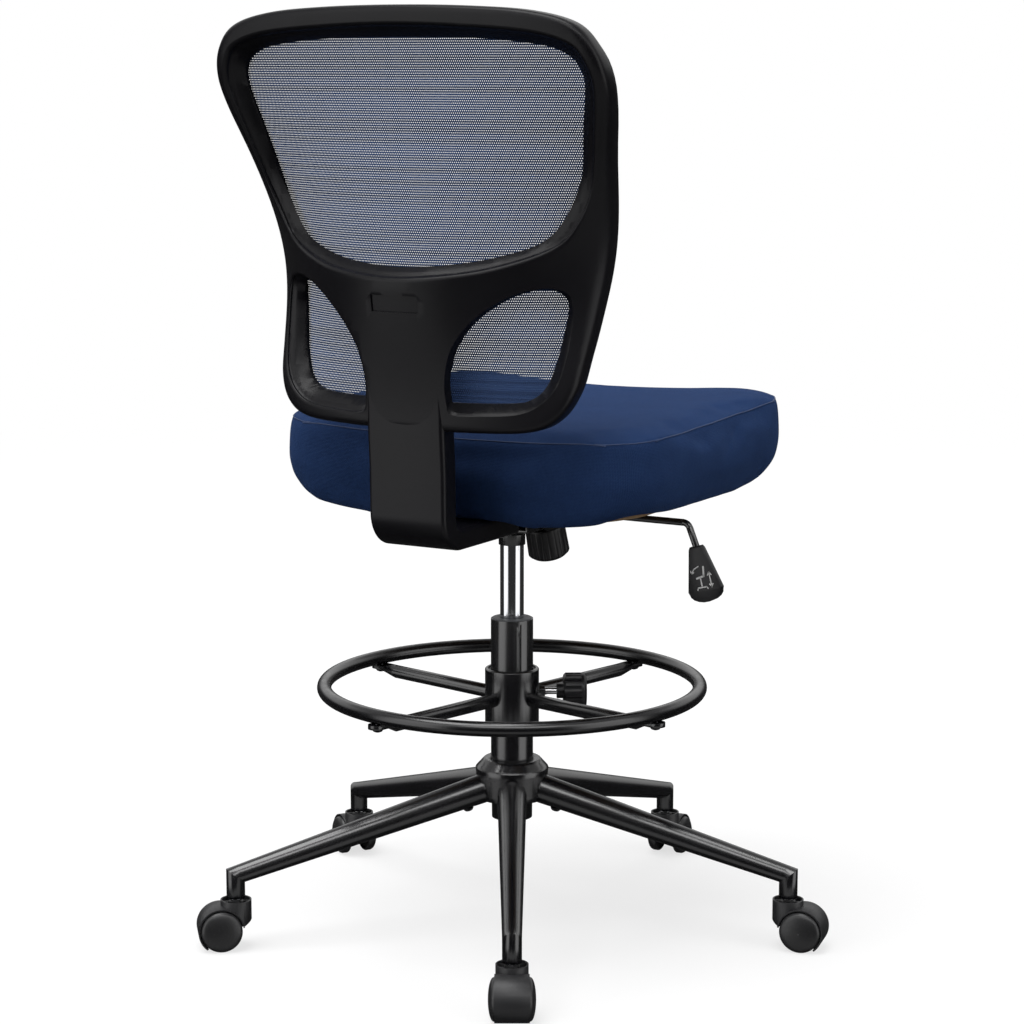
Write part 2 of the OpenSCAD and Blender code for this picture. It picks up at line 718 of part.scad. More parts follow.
module lever_rod() {
    turn = 90 - lever_lean;
    c = bend_r * tan(turn / 2);
    lap = 0.5; // how far the straight lengths run into the bend
    thinning = 0.3;
    color("#1c1c1e") {
        translate([0, -pivot_y, lever_z]) rod_x(lever_d / 2, -lever_reach + c - lap, lever_in);
        // the bend, thinned a little by the bending, then the drop into the paddle
        translate([-lever_reach + c, -pivot_y, lever_z - bend_r]) rotate([90, 0, 0])
            rotate_extrude(angle = turn, start = 90) translate([bend_r, 0]) circle(d = lever_d - thinning);
        lever_bend() rotate([0, 180 + lever_lean, 0]) translate([0, 0, c - lap])
            cylinder(d = lever_d, h = drop_len - c + 12 + lap);
        // flat tab that presses the valve
        box([lever_in - 2, -pivot_y - lever_d / 2 + 0.5, valve_top + gap],
            [8, valve_r + 1, valve_top + gap + tab_t]);
    }
}

module lever_collar() {
    half = flange_in + fulcrum_x - 0.6; // the flange stays clear when the lever tips
    color("#3a3a3e") translate([fulcrum_x, -pivot_y, lever_z]) rotate([0, 90, 0]) difference() {
        sphere(r = collar_r);
        translate([0, 0, half]) cylinder(r = collar_r + 1, h = collar_r);
        translate([0, 0, -half - collar_r]) cylinder(r = collar_r + 1, h = collar_r);
        translate([0, 0, -half - 1]) cylinder(r = lever_d / 2 + fit, h = 2 * half + 2);
    }
}

module lever_paddle() {
    top_w = 17;
    end_w = 42;
    len_p = 63;
    t = 9;
    drop = [-drop_len * sin(lever_lean), 0, -drop_len * cos(lever_lean)];
    color("#1e1e21") difference() {
        lever_bend() translate(drop) rotate([0, paddle_lean, 0]) rotate([90, 0, 0]) translate([0, 0, -t / 2])
            linear_extrude(t) polygon(concat(
                [[top_w / 2 - 2, 2], [top_w / 2, -1]],
                [[end_w / 2, -len_p + 14]],
                [for (a = [0:-20:-180]) [(end_w / 2 - 1) * cos(a), -len_p + 12 + 12 * sin(a)]],
                [[-end_w / 2, -len_p + 14]],
                [[-top_w / 2, -1], [-top_w / 2 + 2, 2]]));
        lever_bend() rotate([0, 180 + lever_lean, 0]) cylinder(d = lever_d + 2 * fit, h = drop_len + 12.5);
    }
}

// ---- seat ----
board_in = 34; // how far the board stays inside the cushion's outline
board_bend = 150; // where the seat starts to curve up, in front of the column
board_rise = 32;
side_rise = 16;
seam_rise = 15;
corner_r = 92; // at the front corners
rear_r = 70;

// The seat's outline, d inside the cushion's edge, with n points to a corner and m along an edge
function seat_outline(d, n, m) = let (w = seat_w / 2 - d, f = seat_front - d, b = seat_rear - d,
        sx = [1, -1, -1, 1], sy = [1, 1, -1, -1],
        r = [for (q = [0:3]) max(6, (sy[q] > 0 ? rear_r : corner_r) - d * 0.6)],
        corner = [for (q = [0:3]) [for (k = [0:n]) let (a = q * 90 + k * 90 / n)
            [sx[q] * (w - r[q]) + r[q] * cos(a), (sy[q] > 0 ? b - r[q] : r[q] - f) + r[q] * sin(a)]]])
    [for (q = [0:3]) each concat(corner[q],
        [for (k = [1:m]) corner[q][n] + (corner[(q + 1) % 4][0] - corner[q][n]) * k / (m + 1)])];

// Height of the seat's underside: flat over the plate, rising to the sides and the front
function under_z(x, y) = plate_z
    + side_rise * pow(max(0, abs(x) - plate_w / 2) / (seat_w / 2 - plate_w / 2), 1.5)
    + board_rise * pow(max(0, -y - board_bend) / (seat_front - board_bend), 1.6);
// The seam runs level across and rises to the front
function seam_z(y) = plate_z + seam_h + seam_rise * (seat_rear - y) / (seat_front + seat_rear);

// A ring of the seat, d inside its edge and lift above the underside
function under_ring(d, lift) = [for (p = seat_outline(d, 8, 3)) [p[0], p[1], under_z(p[0], p[1]) + lift]];
// A ring at the share t of the way up to the seam, and lift above that
function seam_ring(d, t, lift) = [for (p = seat_outline(d, 8, 3)) let (z = under_z(p[0], p[1]) + gap)
    [p[0], p[1], z + (seam_z(p[1]) - z) * t + lift]];
board_steps = [for (f = [0.63, 0.47, 0.3, 0.2]) f * seat_w / 2];
// the crown's rings, as shares of the half width and of the crown's rise
crown_steps = [[0.16, 0.85], [0.32, 1], [0.47, 1], [0.63, 1]];

module seat_board() {
    color("#a98c63") difference() {
        // mirrored, so that its top and the pocket above it are split into the same triangles
        mirror([1, 0, 0]) fan_loft(concat([for (d = board_steps) under_ring(d, 0)], [under_ring(board_in, 0)],
            [under_ring(board_in, board_t)], [for (k = [3:-1:0]) under_ring(board_steps[k], board_t)]));
        seat_bolt_places() translate([0, 0, plate_z - 1]) cylinder(r = m6 + 0.4, h = board_t + 2);
        back_bolt_places() translate([0, 0, plate_z - 1]) cylinder(r = m6 + 1.4, h = board_t + 2);
    }
}

module seat_cushion() {
    // the underside holds the board in a pocket
    color("#1f3a6e") fan_loft(concat([for (d = board_steps) under_ring(d, board_t + gap)],
        [under_ring(board_in - gap, board_t + gap), under_ring(board_in - gap - eps, gap),
            seam_ring(14, 0, 0), seam_ring(4, 0.14, 0), seam_ring(0, 0.45, 0), seam_ring(1, 0.8, 0),
            seam_ring(4, 1, 0), seam_ring(14, 1, crown_h * 0.5)],
        [for (f = crown_steps) seam_ring(f[0] * seat_w / 2, 1, f[1] * crown_h)]));
}

module seat_bolts() {
    head_r = 6;
    color("#2a2a2c") seat_bolt_places() {
        translate([0, 0, plate_z - sheet - 3]) cylinder(r = m6, h = sheet + 3 + board_t);
        translate([0, 0, plate_z - sheet - 4]) cylinder(r = head_r, h = 4, $fn = 6);
    }
}

// ---- back ----
back_w = seat_w + back_extra;
half_w = back_w / 2;
// points of an outline, given as shares of the half width and of the height
function on_back(p) = [for (q = p) [q[0] * half_w, back_bottom + q[1] * back_h]];

outer_half = [[0, 1], [0.36, 0.993], [0.66, 0.974], [0.875, 0.945], [0.965, 0.895], [0.997, 0.835],
    [0.985, 0.760], [0.930, 0.635], [0.869, 0.460], [0.824, 0.317], [0.793, 0.186], [0.768, 0.100],
    [0.700, 0.038], [0.575, 0.007], [0.3, 0], [0, 0]];
lip_upper = [[0, 0.951], [0.400, 0.944], [0.690, 0.930], [0.848, 0.905], [0.905, 0.872], [0.932, 0.825],
    [0.925, 0.780], [0.902, 0.722], [0.865, 0.635], [0.829, 0.569], [0.769, 0.503], [0.690, 0.450],
    [0.530, 0.410], [0.313, 0.382], [0, 0.368]];
edge_upper = [[0, 0.922], [0.390, 0.918], [0.662, 0.905], [0.778, 0.889], [0.837, 0.865], [0.860, 0.828],
    [0.848, 0.780], [0.823, 0.722], [0.788, 0.635], [0.739, 0.569], [0.672, 0.503], [0.605, 0.462],
    [0.505, 0.436], [0.290, 0.410], [0, 0.398]];
lip_lower = [[0.753, 0.290], [0.750, 0.236], [0.741, 0.179], [0.715, 0.116], [0.655, 0.073], [0.560, 0.046],
    [0.402, 0.037], [0.235, 0.038], [0.206, 0.075], [0.206, 0.131], [0.241, 0.199], [0.317, 0.258],
    [0.418, 0.306], [0.534, 0.341], [0.650, 0.354], [0.730, 0.338]];
edge_lower = [[0.682, 0.289], [0.670, 0.241], [0.650, 0.175], [0.617, 0.118], [0.565, 0.088], [0.480, 0.076],
    [0.353, 0.072], [0.225, 0.071], [0.203, 0.092], [0.209, 0.142], [0.265, 0.214], [0.353, 0.271],
    [0.454, 0.311], [0.538, 0.332], [0.615, 0.338], [0.666, 0.322]];
pocket_half = [[0, 0.922], [0.390, 0.918], [0.662, 0.905], [0.778, 0.889], [0.837, 0.865], [0.860, 0.828],
    [0.848, 0.780], [0.823, 0.722], [0.795, 0.640], [0.769, 0.560], [0.746, 0.500], [0.723, 0.430],
    [0.704, 0.372], [0.682, 0.289], [0.670, 0.241], [0.650, 0.175], [0.617, 0.118], [0.565, 0.088],
    [0.480, 0.076], [0.24, 0.072], [0, 0.072]];

waist = 0.387; // share of the height where the sides come furthest forward
foot_front = seat_rear - board_in - 50;
back_bolt_y = seat_rear - board_in - 14; // the bolt nearest to the board's edge
web_back = 7; // how far the T and its stem stay behind the mesh

function ease(t) = let (u = min(1, max(0, t))) u * u * (3 - 2 * u);
function centre_y(z) = back_y + back_lean * ease((z - back_bottom + 30) / 260);
function side_y(z) = let (t = (z - back_bottom) / back_h)
    back_y - side_wrap + flare_top * ease((t - waist) / 0.565) + flare_foot * ease((waist - t) / waist);
function wrap_w(z) = half_w * (0.726 + 0.284 * (z - back_bottom) / back_h);
function rear_y(x, z) = let (c = centre_y(z)) c - (c - side_y(z)) * pow(x / wrap_w(z), 2);
// an outline laid on the curved back at a depth in front of its rear face
function laid(p, depth) = [for (q = p) [q[0], rear_y(q[0], q[1]) - depth, q[1]]];
function mixed(a, b, t) = [for (i = [0:len(a) - 1]) a[i] * (1 - t) + b[i] * t];
clear = 120; // how far a cutting shape runs past the curved back

module back_slab(t0, t1) {
    nx = 22;
    nz = 24;
    x0 = -half_w - 6;
    z0 = back_bottom - 6;
    row = function (j, t) [for (i = [0:nx])
        let (x = x0 - 2 * x0 * i / nx, z = z0 + (back_h + 12) * j / nz) [x, rear_y(x, z) - t, z]];
    loft([for (j = [0:nz]) concat(row(j, t0), [for (i = [nx:-1:0]) row(j, t1)[i]])]);
}

// What lies inside an outline, all the way through the back
module prism_y(outline) {
    translate([0, back_y + clear, 0]) rotate([90, 0, 0]) linear_extrude(3 * clear) polygon(outline);
}

module mirror_pair() {
    children();
    mirror([1, 0, 0]) children();
}

// A window flared from its rounded lip at the rear to the mesh's edge at the front
module window_cut(lip, edge) {
    loft([laid(lip, -clear), laid(lip, -0.2), laid(mixed(lip, edge, 0.12), 0.8),
        laid(mixed(lip, edge, 0.3), 3.6), laid(edge, frame_t - 2), laid(edge, clear)]);
}

// The spine's path down the rear face and round the bend, as [y, z] from the top
spine_root = back_bottom + 75;
foot_z = plate_z - foot_t;
spine_y = back_y - 2.5;
spine_path = concat(
    [[centre_y(spine_root) - 3, spine_root], [centre_y(spine_root - 30) + 0.5, spine_root - 30],
        [centre_y(back_bottom) + 1, back_bottom], [spine_y + 0.6, (back_bottom + foot_z + foot_r) / 2]],
    [for (a = [0:-15:-90]) [spine_y - foot_r + foot_r * cos(a), foot_z + foot_r + foot_r * sin(a)]],
    [[(spine_y - foot_r + foot_front) / 2, foot_z], [foot_front, foot_z]]);

module spine_and_foot() {
    m = len(spine_path);
    thin_from = 5;
    loft([for (i = [0:m - 1])
        let (d = spine_path[min(m - 1, i + 1)] - spine_path[max(0, i - 1)], u = d / norm(d),
            out = [-u[1], u[0]],
            // thin enough at the root to stay behind the mesh, thinning again towards the foot
            t = min(frame_t - 6 + 2.6 * i, spine_t + (foot_t - spine_t) * ease((i - thin_from) / 6)))
        [for (p = rounded_box(spine_w, t, 5, 3)) let (c = spine_path[i] + out * (p[1] - t / 2))
            [p[0], c[0], c[1]]]]);
}

module back_frame() {
    outer = smooth(both_sides(on_back(outer_half)), 3);
    upper_lip = smooth(both_sides(on_back(lip_upper)), 3);
    upper_edge = smooth(both_sides(on_back(edge_upper)), 3);
    lower_lip = smooth(on_back(lip_lower), 3);
    lower_edge = smooth(on_back(edge_lower), 3);
    pocket = inset(smooth(both_sides(on_back(pocket_half)), 2), -2);
    recess = on_back([[-0.12, 0.285], [0.12, 0.285], [0.12, 0.325], [-0.12, 0.325]]);
    color("#1a1a1c") resize([back_w, 0, 0]) difference() {
        union() {
            difference() {
                intersection() {
                    back_slab(0, frame_t);
                    loft([laid(inset(outer, 8), -clear), laid(inset(outer, 8), -0.5),
                        laid(inset(outer, 3), 1), laid(inset(outer, 0.6), 4), laid(outer, 9),
                        laid(inset(outer, 0.5), frame_t - 3), laid(inset(outer, 2.5), frame_t),
                        laid(inset(outer, 2.5), clear)]);
                }
                window_cut(upper_lip, upper_edge);
                mirror_pair() window_cut(lower_lip, lower_edge);
                intersection() {
                    back_slab(frame_t - web_back, frame_t + 6);
                    prism_y(pocket);
                }
            }
            spine_and_foot();
        }
        back_bolt_places() translate([0, 0, foot_z - 1]) cylinder(r = m6 + 1.4, h = foot_t + 2, $fn = 24);
        intersection() {
            back_slab(-6, 1.2);
            prism_y(recess);
        }
    }
}

module back_bolt_places() {
    for (p = [[-28, -22], [28, -22], [0, 0]]) translate([p[0], back_bolt_y + p[1], 0]) children();
}

module back_bolts() {
    color("#2a2a2c") back_bolt_places() {
        translate([0, 0, plate_z - foot_t - 1]) cylinder(r = m6 + 1, h = foot_t + board_t);
        translate([0, 0, plate_z - foot_t - gap]) rotate([180, 0, 0]) bolt_head(9, 3.6);
    }
}

mesh_t = 1;
mesh_gap = 0.9;
rim_in = 3.5;
rim_w = 9;
rim_t = 4;

module mesh_panel() {
    outer = inset(smooth(both_sides(on_back(outer_half)), 2), rim_in + 1.5);
    mid = [0, back_bottom + back_h * 0.5];
    shares = [0.1, 0.3, 0.5, 0.66, 0.78, 0.86, 0.93, 1];
    rings = function (d, f) laid([for (q = outer) mid + (q - mid) * f], d);
    color("#7d8196") fan_loft(concat([for (f = shares) rings(frame_t + mesh_gap, f)],
        [for (k = [len(shares) - 1:-1:0]) rings(frame_t + mesh_gap + mesh_t, shares[k])]));
}

module mesh_rim() {
    outer = inset(smooth(both_sides(on_back(outer_half)), 3), rim_in);
    inner = inset(outer, rim_w);
    d = frame_t + mesh_t + 2 * mesh_gap;
    color("#1a1a1c") torus_loft([laid(outer, d), laid(inset(outer, 0.6), d + rim_t),
        laid(inset(inner, -0.6), d + rim_t), laid(inner, d)]);
}

// A closed band through rings that run round it
module torus_loft(rings) {
    m = len(rings);
    n = len(rings[0]);
    around = [for (i = [0:m - 1], j = [0:n - 1]) each [
        [i * n + j, i * n + (j + 1) % n, ((i + 1) % m) * n + (j + 1) % n],
        [i * n + j, ((i + 1) % m) * n + (j + 1) % n, ((i + 1) % m) * n + j]]];
    polyhedron(points = [for (r = rings) each r], faces = around, convexity = 8);
}

// ---- what is drawn ----
base_hub();
for (i = [1:leg_count]) base_leg(i);
leg_bolts();
column_tube();
guide_bush();
thrust_bearing();
piston_rod();
rod_clip();
gas_cylinder();
valve_pin();
ring_tube();
for (i = [1:spoke_count]) ring_spoke(i);
ring_bolts();
ring_hub();
ring_bush();
clamp_stud();
clamp_knob();
tilt_housing();
tilt_pin();
tilt_spring();
tension_bolt();
tension_knob();
lever_collar();
lever_rod();
lever_paddle();
seat_plate();
seat_bolts();
seat_board();
seat_cushion();
back_frame();
back_bolts();
mesh_panel();
mesh_rim();
for (i = [1:leg_count]) {
    at_caster(i) caster_hood();
    at_caster(i) caster_pins();
    at_caster(i) caster_wheel(1);
    at_caster(i) caster_wheel(-1);
}
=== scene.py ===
# Drafting chair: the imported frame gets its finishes, its cloth and its moulded skins here.
import bpy, bmesh, json, math
from mathutils import Matrix, Vector


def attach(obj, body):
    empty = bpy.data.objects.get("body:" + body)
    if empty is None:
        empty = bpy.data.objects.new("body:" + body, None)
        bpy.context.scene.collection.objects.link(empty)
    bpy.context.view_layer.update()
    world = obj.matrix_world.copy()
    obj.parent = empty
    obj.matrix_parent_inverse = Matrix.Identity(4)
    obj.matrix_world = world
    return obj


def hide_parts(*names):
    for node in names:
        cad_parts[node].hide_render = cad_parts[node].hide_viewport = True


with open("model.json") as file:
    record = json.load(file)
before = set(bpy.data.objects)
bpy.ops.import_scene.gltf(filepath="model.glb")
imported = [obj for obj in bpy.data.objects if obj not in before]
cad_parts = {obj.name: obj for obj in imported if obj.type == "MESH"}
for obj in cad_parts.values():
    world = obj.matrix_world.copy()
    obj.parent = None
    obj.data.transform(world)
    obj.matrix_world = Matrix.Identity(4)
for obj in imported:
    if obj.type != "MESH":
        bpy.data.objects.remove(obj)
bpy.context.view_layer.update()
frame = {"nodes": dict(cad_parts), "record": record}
nodes = frame["nodes"]
bodyOf = {name: body for body, names in frame["record"]["behaviour"]["bodies"].items() for name in names}
mm = 0.001
print("frame loaded:", len(nodes), "nodes")

cameraSet = {
    "azimuth": 210.0,  # degrees round the chair, from behind the sitter's right shoulder
    "distance": 3.1952,
    "height": 1.0228,
    "tilt": 9.37,  # degrees below the horizon
    "lens": 97.11,
}

cameraData = bpy.data.cameras.new("cameraMain")
camera = bpy.data.objects.new("cameraMain", cameraData)
bpy.context.scene.collection.objects.link(camera)
turnRound = math.radians(cameraSet["azimuth"])
camera.location = (math.sin(turnRound) * cameraSet["distance"],
                   -math.cos(turnRound) * cameraSet["distance"], cameraSet["height"])
camera.rotation_euler = (math.radians(90 - cameraSet["tilt"]), 0, turnRound)
cameraData.lens = cameraSet["lens"]
cameraData.sensor_width = 36
cameraData.clip_end = 200
cameraData.dof.use_dof = False
bpy.context.scene.camera = camera
bpy.context.scene.view_settings.view_transform = "Standard"


# shader maths

class Wire:
    # one output of a finish's nodes: arithmetic on it adds Math nodes
    def __init__(self, finish, socket):
        self.finish = finish
        self.socket = socket

    def maths(self, operation, other=None, swapped=False):
        pair = [self] if other is None else [other, self] if swapped else [self, other]
        return self.finish.node("ShaderNodeMath", {"operation": operation}, dict(enumerate(pair)))

    def __add__(self, other): return self.maths("ADD", other)
    def __radd__(self, other): return self.maths("ADD", other)
    def __sub__(self, other): return self.maths("SUBTRACT", other)
    def __rsub__(self, other): return self.maths("SUBTRACT", other, True)
    def __mul__(self, other): return self.maths("MULTIPLY", other)
    def __rmul__(self, other): return self.maths("MULTIPLY", other)
    def __truediv__(self, other): return self.maths("DIVIDE", other)
    def __gt__(self, other): return self.maths("GREATER_THAN", other)

    def twin(self, name):
        return Wire(self.finish, self.socket.node.outputs[name])

    def eased(self, low, high, start=0.0, end=1.0):
        # smooth ramp from start to end while this goes from low to high
        return self.finish.node("ShaderNodeMapRange", {"interpolation_type": "SMOOTHSTEP"},
                                {"Value": self, "From Min": low, "From Max": high,
                                 "To Min": start, "To Max": end})


class Finish:
    def __init__(self, name, fixed=None):
        self.material = bpy.data.materials.new(name)
        self.material.use_nodes = True
        self.tree = self.material.node_tree
        self.shader = self.tree.nodes["Principled BSDF"]
        for socket, value in (fixed or {}).items():
            self.shader.inputs[socket].default_value = value

    def node(self, kind, settings=None, sockets=None, out=0):
        made = self.tree.nodes.new(kind)
        for name, value in (settings or {}).items():
            if name == "stops":
                self.stops(made, value)
            else:
                setattr(made, name, value)
        for name, value in (sockets or {}).items():
            self.join(value, made.inputs[name])
        return Wire(self, made.outputs[out])

    def stops(self, made, stops):
        ramp = made.color_ramp
        while len(ramp.elements) < len(stops):
            ramp.elements.new(0.5)
        for element, (at, colour) in zip(ramp.elements, stops):
            element.position = at
            element.color = (*colour, 1)

    def join(self, value, socket):
        if isinstance(value, Wire):
            self.tree.links.new(value.socket, socket)
        elif socket.type == "RGBA" and len(value) == 3:
            socket.default_value = (*value, 1)
        else:
            socket.default_value = value

    def put(self, name, value):
        self.join(value, self.shader.inputs[name])

    def place(self, scale=(1, 1, 1)):
        at = self.node("ShaderNodeTexCoord", out="Object")
        return self.node("ShaderNodeMapping", None, {"Vector": at, "Scale": scale})

    def noise(self, at, scale, detail=2.0, roughness=0.5):
        return self.node("ShaderNodeTexNoise", None,
                         {"Vector": at, "Scale": scale, "Detail": detail, "Roughness": roughness})

    def cells(self, at, scale):
        return self.node("ShaderNodeTexVoronoi", None, {"Vector": at, "Scale": scale})

    def blend(self, mask, first, second):
        return self.node("ShaderNodeMix", {"data_type": "RGBA"}, {0: mask, 6: first, 7: second}, out=2)

    def split(self, vector):
        x = self.node("ShaderNodeSeparateXYZ", None, {0: vector}, out="X")
        return x, x.twin("Y"), x.twin("Z")

    def bump(self, height, depth):
        return self.node("ShaderNodeBump", None, {"Height": height, "Distance": depth})


# finishes

paintSet = {
    "dark": (0.0022, 0.0021, 0.0030),
    "light": (0.0042, 0.0041, 0.0054),
    "rough": 0.22,
    "roughSpread": 0.10,
    "cloudScale": 14,  # per metre, like every scale here
    "dustScale": 240,
    "dustRough": 0.08,
    "peelScale": 620,
    "peelDepth": 0.05 * mm,
    "specular": 0.85,
}


def paintFinish(name, values):
    paint = Finish(name, {"Specular IOR Level": values["specular"]})
    at = paint.place()
    cloud = paint.noise(at, values["cloudScale"], 3)
    dust = paint.noise(at, values["dustScale"], 4, 0.7)
    paint.put("Base Color", paint.blend(cloud.eased(0.3, 0.7), values["dark"], values["light"]))
    paint.put("Roughness", values["rough"] + (cloud - 0.5) * values["roughSpread"]
              + (dust - 0.5) * values["dustRough"])
    peel = paint.noise(at, values["peelScale"], 1.5)
    paint.put("Normal", paint.bump(peel + 0.3 * dust, values["peelDepth"]))
    return paint.material


ringPaintSet = dict(paintSet, specular=0.62, wornRough=0.17, worn=(0.028, 0.028, 0.029), wornShare=0.6,
                    scuffScale=60)


def wornPaintFinish(name, values):
    # the ring is polished where shoes rest on it
    paint = Finish(name, {"Specular IOR Level": values["specular"]})
    at = paint.place()
    cloud = paint.noise(at, values["cloudScale"], 3)
    scuffs = paint.noise(paint.place((1, 1, 5)), values["scuffScale"], 5, 0.65)
    up = paint.split(paint.node("ShaderNodeNewGeometry", out="Normal"))[2]
    worn = up.eased(0.45, 0.95) * scuffs.eased(0.42, 0.62)
    paint.put("Base Color", paint.blend(worn * values["wornShare"], values["dark"], values["worn"]))
    paint.put("Roughness", values["rough"] + (cloud - 0.5) * values["roughSpread"]
              - worn * (values["rough"] - values["wornRough"]))
    peel = paint.noise(at, values["peelScale"], 1.5)
    paint.put("Normal", paint.bump(peel, values["peelDepth"]))
    return paint.material


mouldSet = {
    "flowScale": 9,  # of the slow clouds that the flowing plastic leaves
    "flowRough": 0.10,
    "fineRough": 0.06,
    "lighter": 1.5,
    "dusty": 0.0,
    "dustScale": 170,
    "dust": (0.05, 0.05, 0.052),
}
frameSet = dict(mouldSet, colour=(0.0046, 0.0044, 0.0056), rough=0.32, specular=0.18,
                grainScale=1300, grainDepth=0.05 * mm)
knobSet = dict(mouldSet, colour=(0.0055, 0.0054, 0.0065), rough=0.40, specular=0.34,
               grainScale=1500, grainDepth=0.04 * mm)
hoodSet = dict(mouldSet, colour=(0.009, 0.009, 0.010), rough=0.46, specular=0.45,
               grainScale=1100, grainDepth=0.05 * mm, dusty=0.35)
greyNylonSet = dict(mouldSet, colour=(0.10, 0.105, 0.115), rough=0.5, specular=0.5,
                    grainScale=1000, grainDepth=0.03 * mm)


def mouldedFinish(name, values):
    # moulded plastic: fine leather-like grain, faint flow clouds and a little dust on what faces up
    plastic = Finish(name, {"Specular IOR Level": values["specular"]})
    at = plastic.place()
    flow = plastic.noise(plastic.place((1, 1, 0.4)), values["flowScale"], 3)
    grain = plastic.cells(at, values["grainScale"])
    fine = plastic.noise(at, values["grainScale"] * 0.6, 2)
    lighter = tuple(tint * values["lighter"] for tint in values["colour"])
    colour = plastic.blend(flow.eased(0.3, 0.7), values["colour"], lighter)
    if values["dusty"]:
        up = plastic.split(plastic.node("ShaderNodeNewGeometry", out="Normal"))[2]
        dust = up.eased(0.3, 1.0) * plastic.noise(at, values["dustScale"], 5, 0.7).eased(0.45, 0.75)
        colour = plastic.blend(dust * values["dusty"], colour, values["dust"])
    plastic.put("Base Color", colour)
    plastic.put("Roughness", values["rough"] + (flow - 0.5) * values["flowRough"]
                + (fine - 0.5) * values["fineRough"])
    plastic.put("Normal", plastic.bump(grain * 0.7 + fine * 0.3, values["grainDepth"]))
    return plastic.material


wheelSet = {
    "colour": (0.012, 0.012, 0.013),
    "scuffed": (0.035, 0.034, 0.033),
    "rough": 0.38,
    "specular": 0.5,
    "flowScale": 30,
    "speckScale": 420,
    "depth": 0.03 * mm,
}


def wheelFinish(name, values):
    # nylon that floors have scuffed and speckled a little
    nylon = Finish(name, {"Specular IOR Level": values["specular"]})
    at = nylon.place()
    flow = nylon.noise(at, values["flowScale"], 3)
    specks = nylon.noise(at, values["speckScale"], 4, 0.7)
    nylon.put("Base Color", nylon.blend(specks.eased(0.5, 0.75) * 0.5, values["colour"], values["scuffed"]))
    nylon.put("Roughness", values["rough"] + (flow - 0.5) * 0.15 + (specks - 0.5) * 0.10)
    nylon.put("Normal", nylon.bump(flow * 0.4 + specks * 0.6, values["depth"]))
    return nylon.material


chromeSet = {
    "dull": (0.60, 0.61, 0.63),
    "bright": (0.66, 0.67, 0.69),
    "rough": 0.07,
    "smearScale": 90,
    "lineScale": 300,  # of the fine grinding lines round the cylinder
    "lineDepth": 0.004 * mm,
}


def chromeFinish(name, values):
    chrome = Finish(name, {"Metallic": 1.0})
    smear = chrome.noise(chrome.place((1, 1, 0.08)), values["smearScale"], 4, 0.6)
    lines = chrome.noise(chrome.place((0.2, 0.2, 6)), values["lineScale"], 2)
    chrome.put("Base Color", chrome.blend(smear.eased(0.35, 0.65), values["dull"], values["bright"]))
    chrome.put("Roughness", values["rough"] + (smear - 0.4) * 0.07)
    chrome.put("Normal", chrome.bump(lines, values["lineDepth"]))
    return chrome.material


steelSet = {"stainScale": 70, "stainRough": 0.16, "scratchScale": 260, "scratchDepth": 0.02 * mm}


def steelFinish(name, colour, rough):
    steel = Finish(name, {"Metallic": 1.0})
    at = steel.place()
    stain = steel.noise(at, steelSet["stainScale"], 4, 0.6)
    scratches = steel.noise(steel.place((1, 1, 14)), steelSet["scratchScale"], 3)
    r, g, b = colour
    steel.put("Base Color", steel.blend(stain.eased(0.35, 0.7), colour, (r * 0.72, g * 0.70, b * 0.68)))
    steel.put("Roughness", rough + (stain - 0.5) * steelSet["stainRough"])
    steel.put("Normal", steel.bump(scratches, steelSet["scratchDepth"]))
    return steel.material


plySet = {
    "face": (0.42, 0.28, 0.15),
    "dark": (0.22, 0.13, 0.065),
    "plyPitch": 1.3 * mm,
    "warpScale": 22,
    "figureScale": 16,
    "poreScale": 900,
    "poreDepth": 0.08 * mm,
}


def plyFinish(name, values):
    # rotary-cut face with long figure, and plies that show on the cut edge
    ply = Finish(name, {"Specular IOR Level": 0.3})
    at = ply.place((1, 0.12, 1))
    warp = ply.noise(at, values["warpScale"], 4)
    figure = ply.node("ShaderNodeTexWave", {"wave_type": "BANDS", "bands_direction": "X"},
                      {"Vector": at, "Scale": values["figureScale"], "Distortion": 9, "Detail": 3})
    pores = ply.noise(ply.place((1, 0.05, 1)), values["poreScale"], 3)
    x, y, z = ply.split(ply.node("ShaderNodeTexCoord", out="Object"))
    flatness = ply.split(ply.node("ShaderNodeNewGeometry", out="Normal"))[2].maths("ABSOLUTE")
    layers = (z / values["plyPitch"]).maths("FRACT") > 0.5
    streak = figure * 0.5 + warp * 0.3 + pores * 0.2
    face = ply.blend(streak.eased(0.25, 0.85), values["face"], values["dark"])
    edge = ply.blend(layers, values["face"], values["dark"])
    ply.put("Base Color", ply.blend(flatness.eased(0.5, 0.8), edge, face))
    ply.put("Roughness", 0.62 + (pores - 0.5) * 0.2)
    ply.put("Normal", ply.bump(pores, values["poreDepth"]))
    return ply.material


fabricSet = {
    "deep": (0.0085, 0.0215, 0.068),
    "thread": (0.021, 0.050, 0.145),
    "pitch": 1.5 * mm,  # of one yarn
    "depth": 0.32 * mm,
    "waver": 0.4,  # how far a yarn strays, as a share of the pitch
    "waverScale": 160,
    "slubScale": 420,
    "patchScale": 24,
    "fuzzScale": 1800,
    "sheen": 0.06,
    "sheenTint": (0.25, 0.45, 0.95, 1),
}


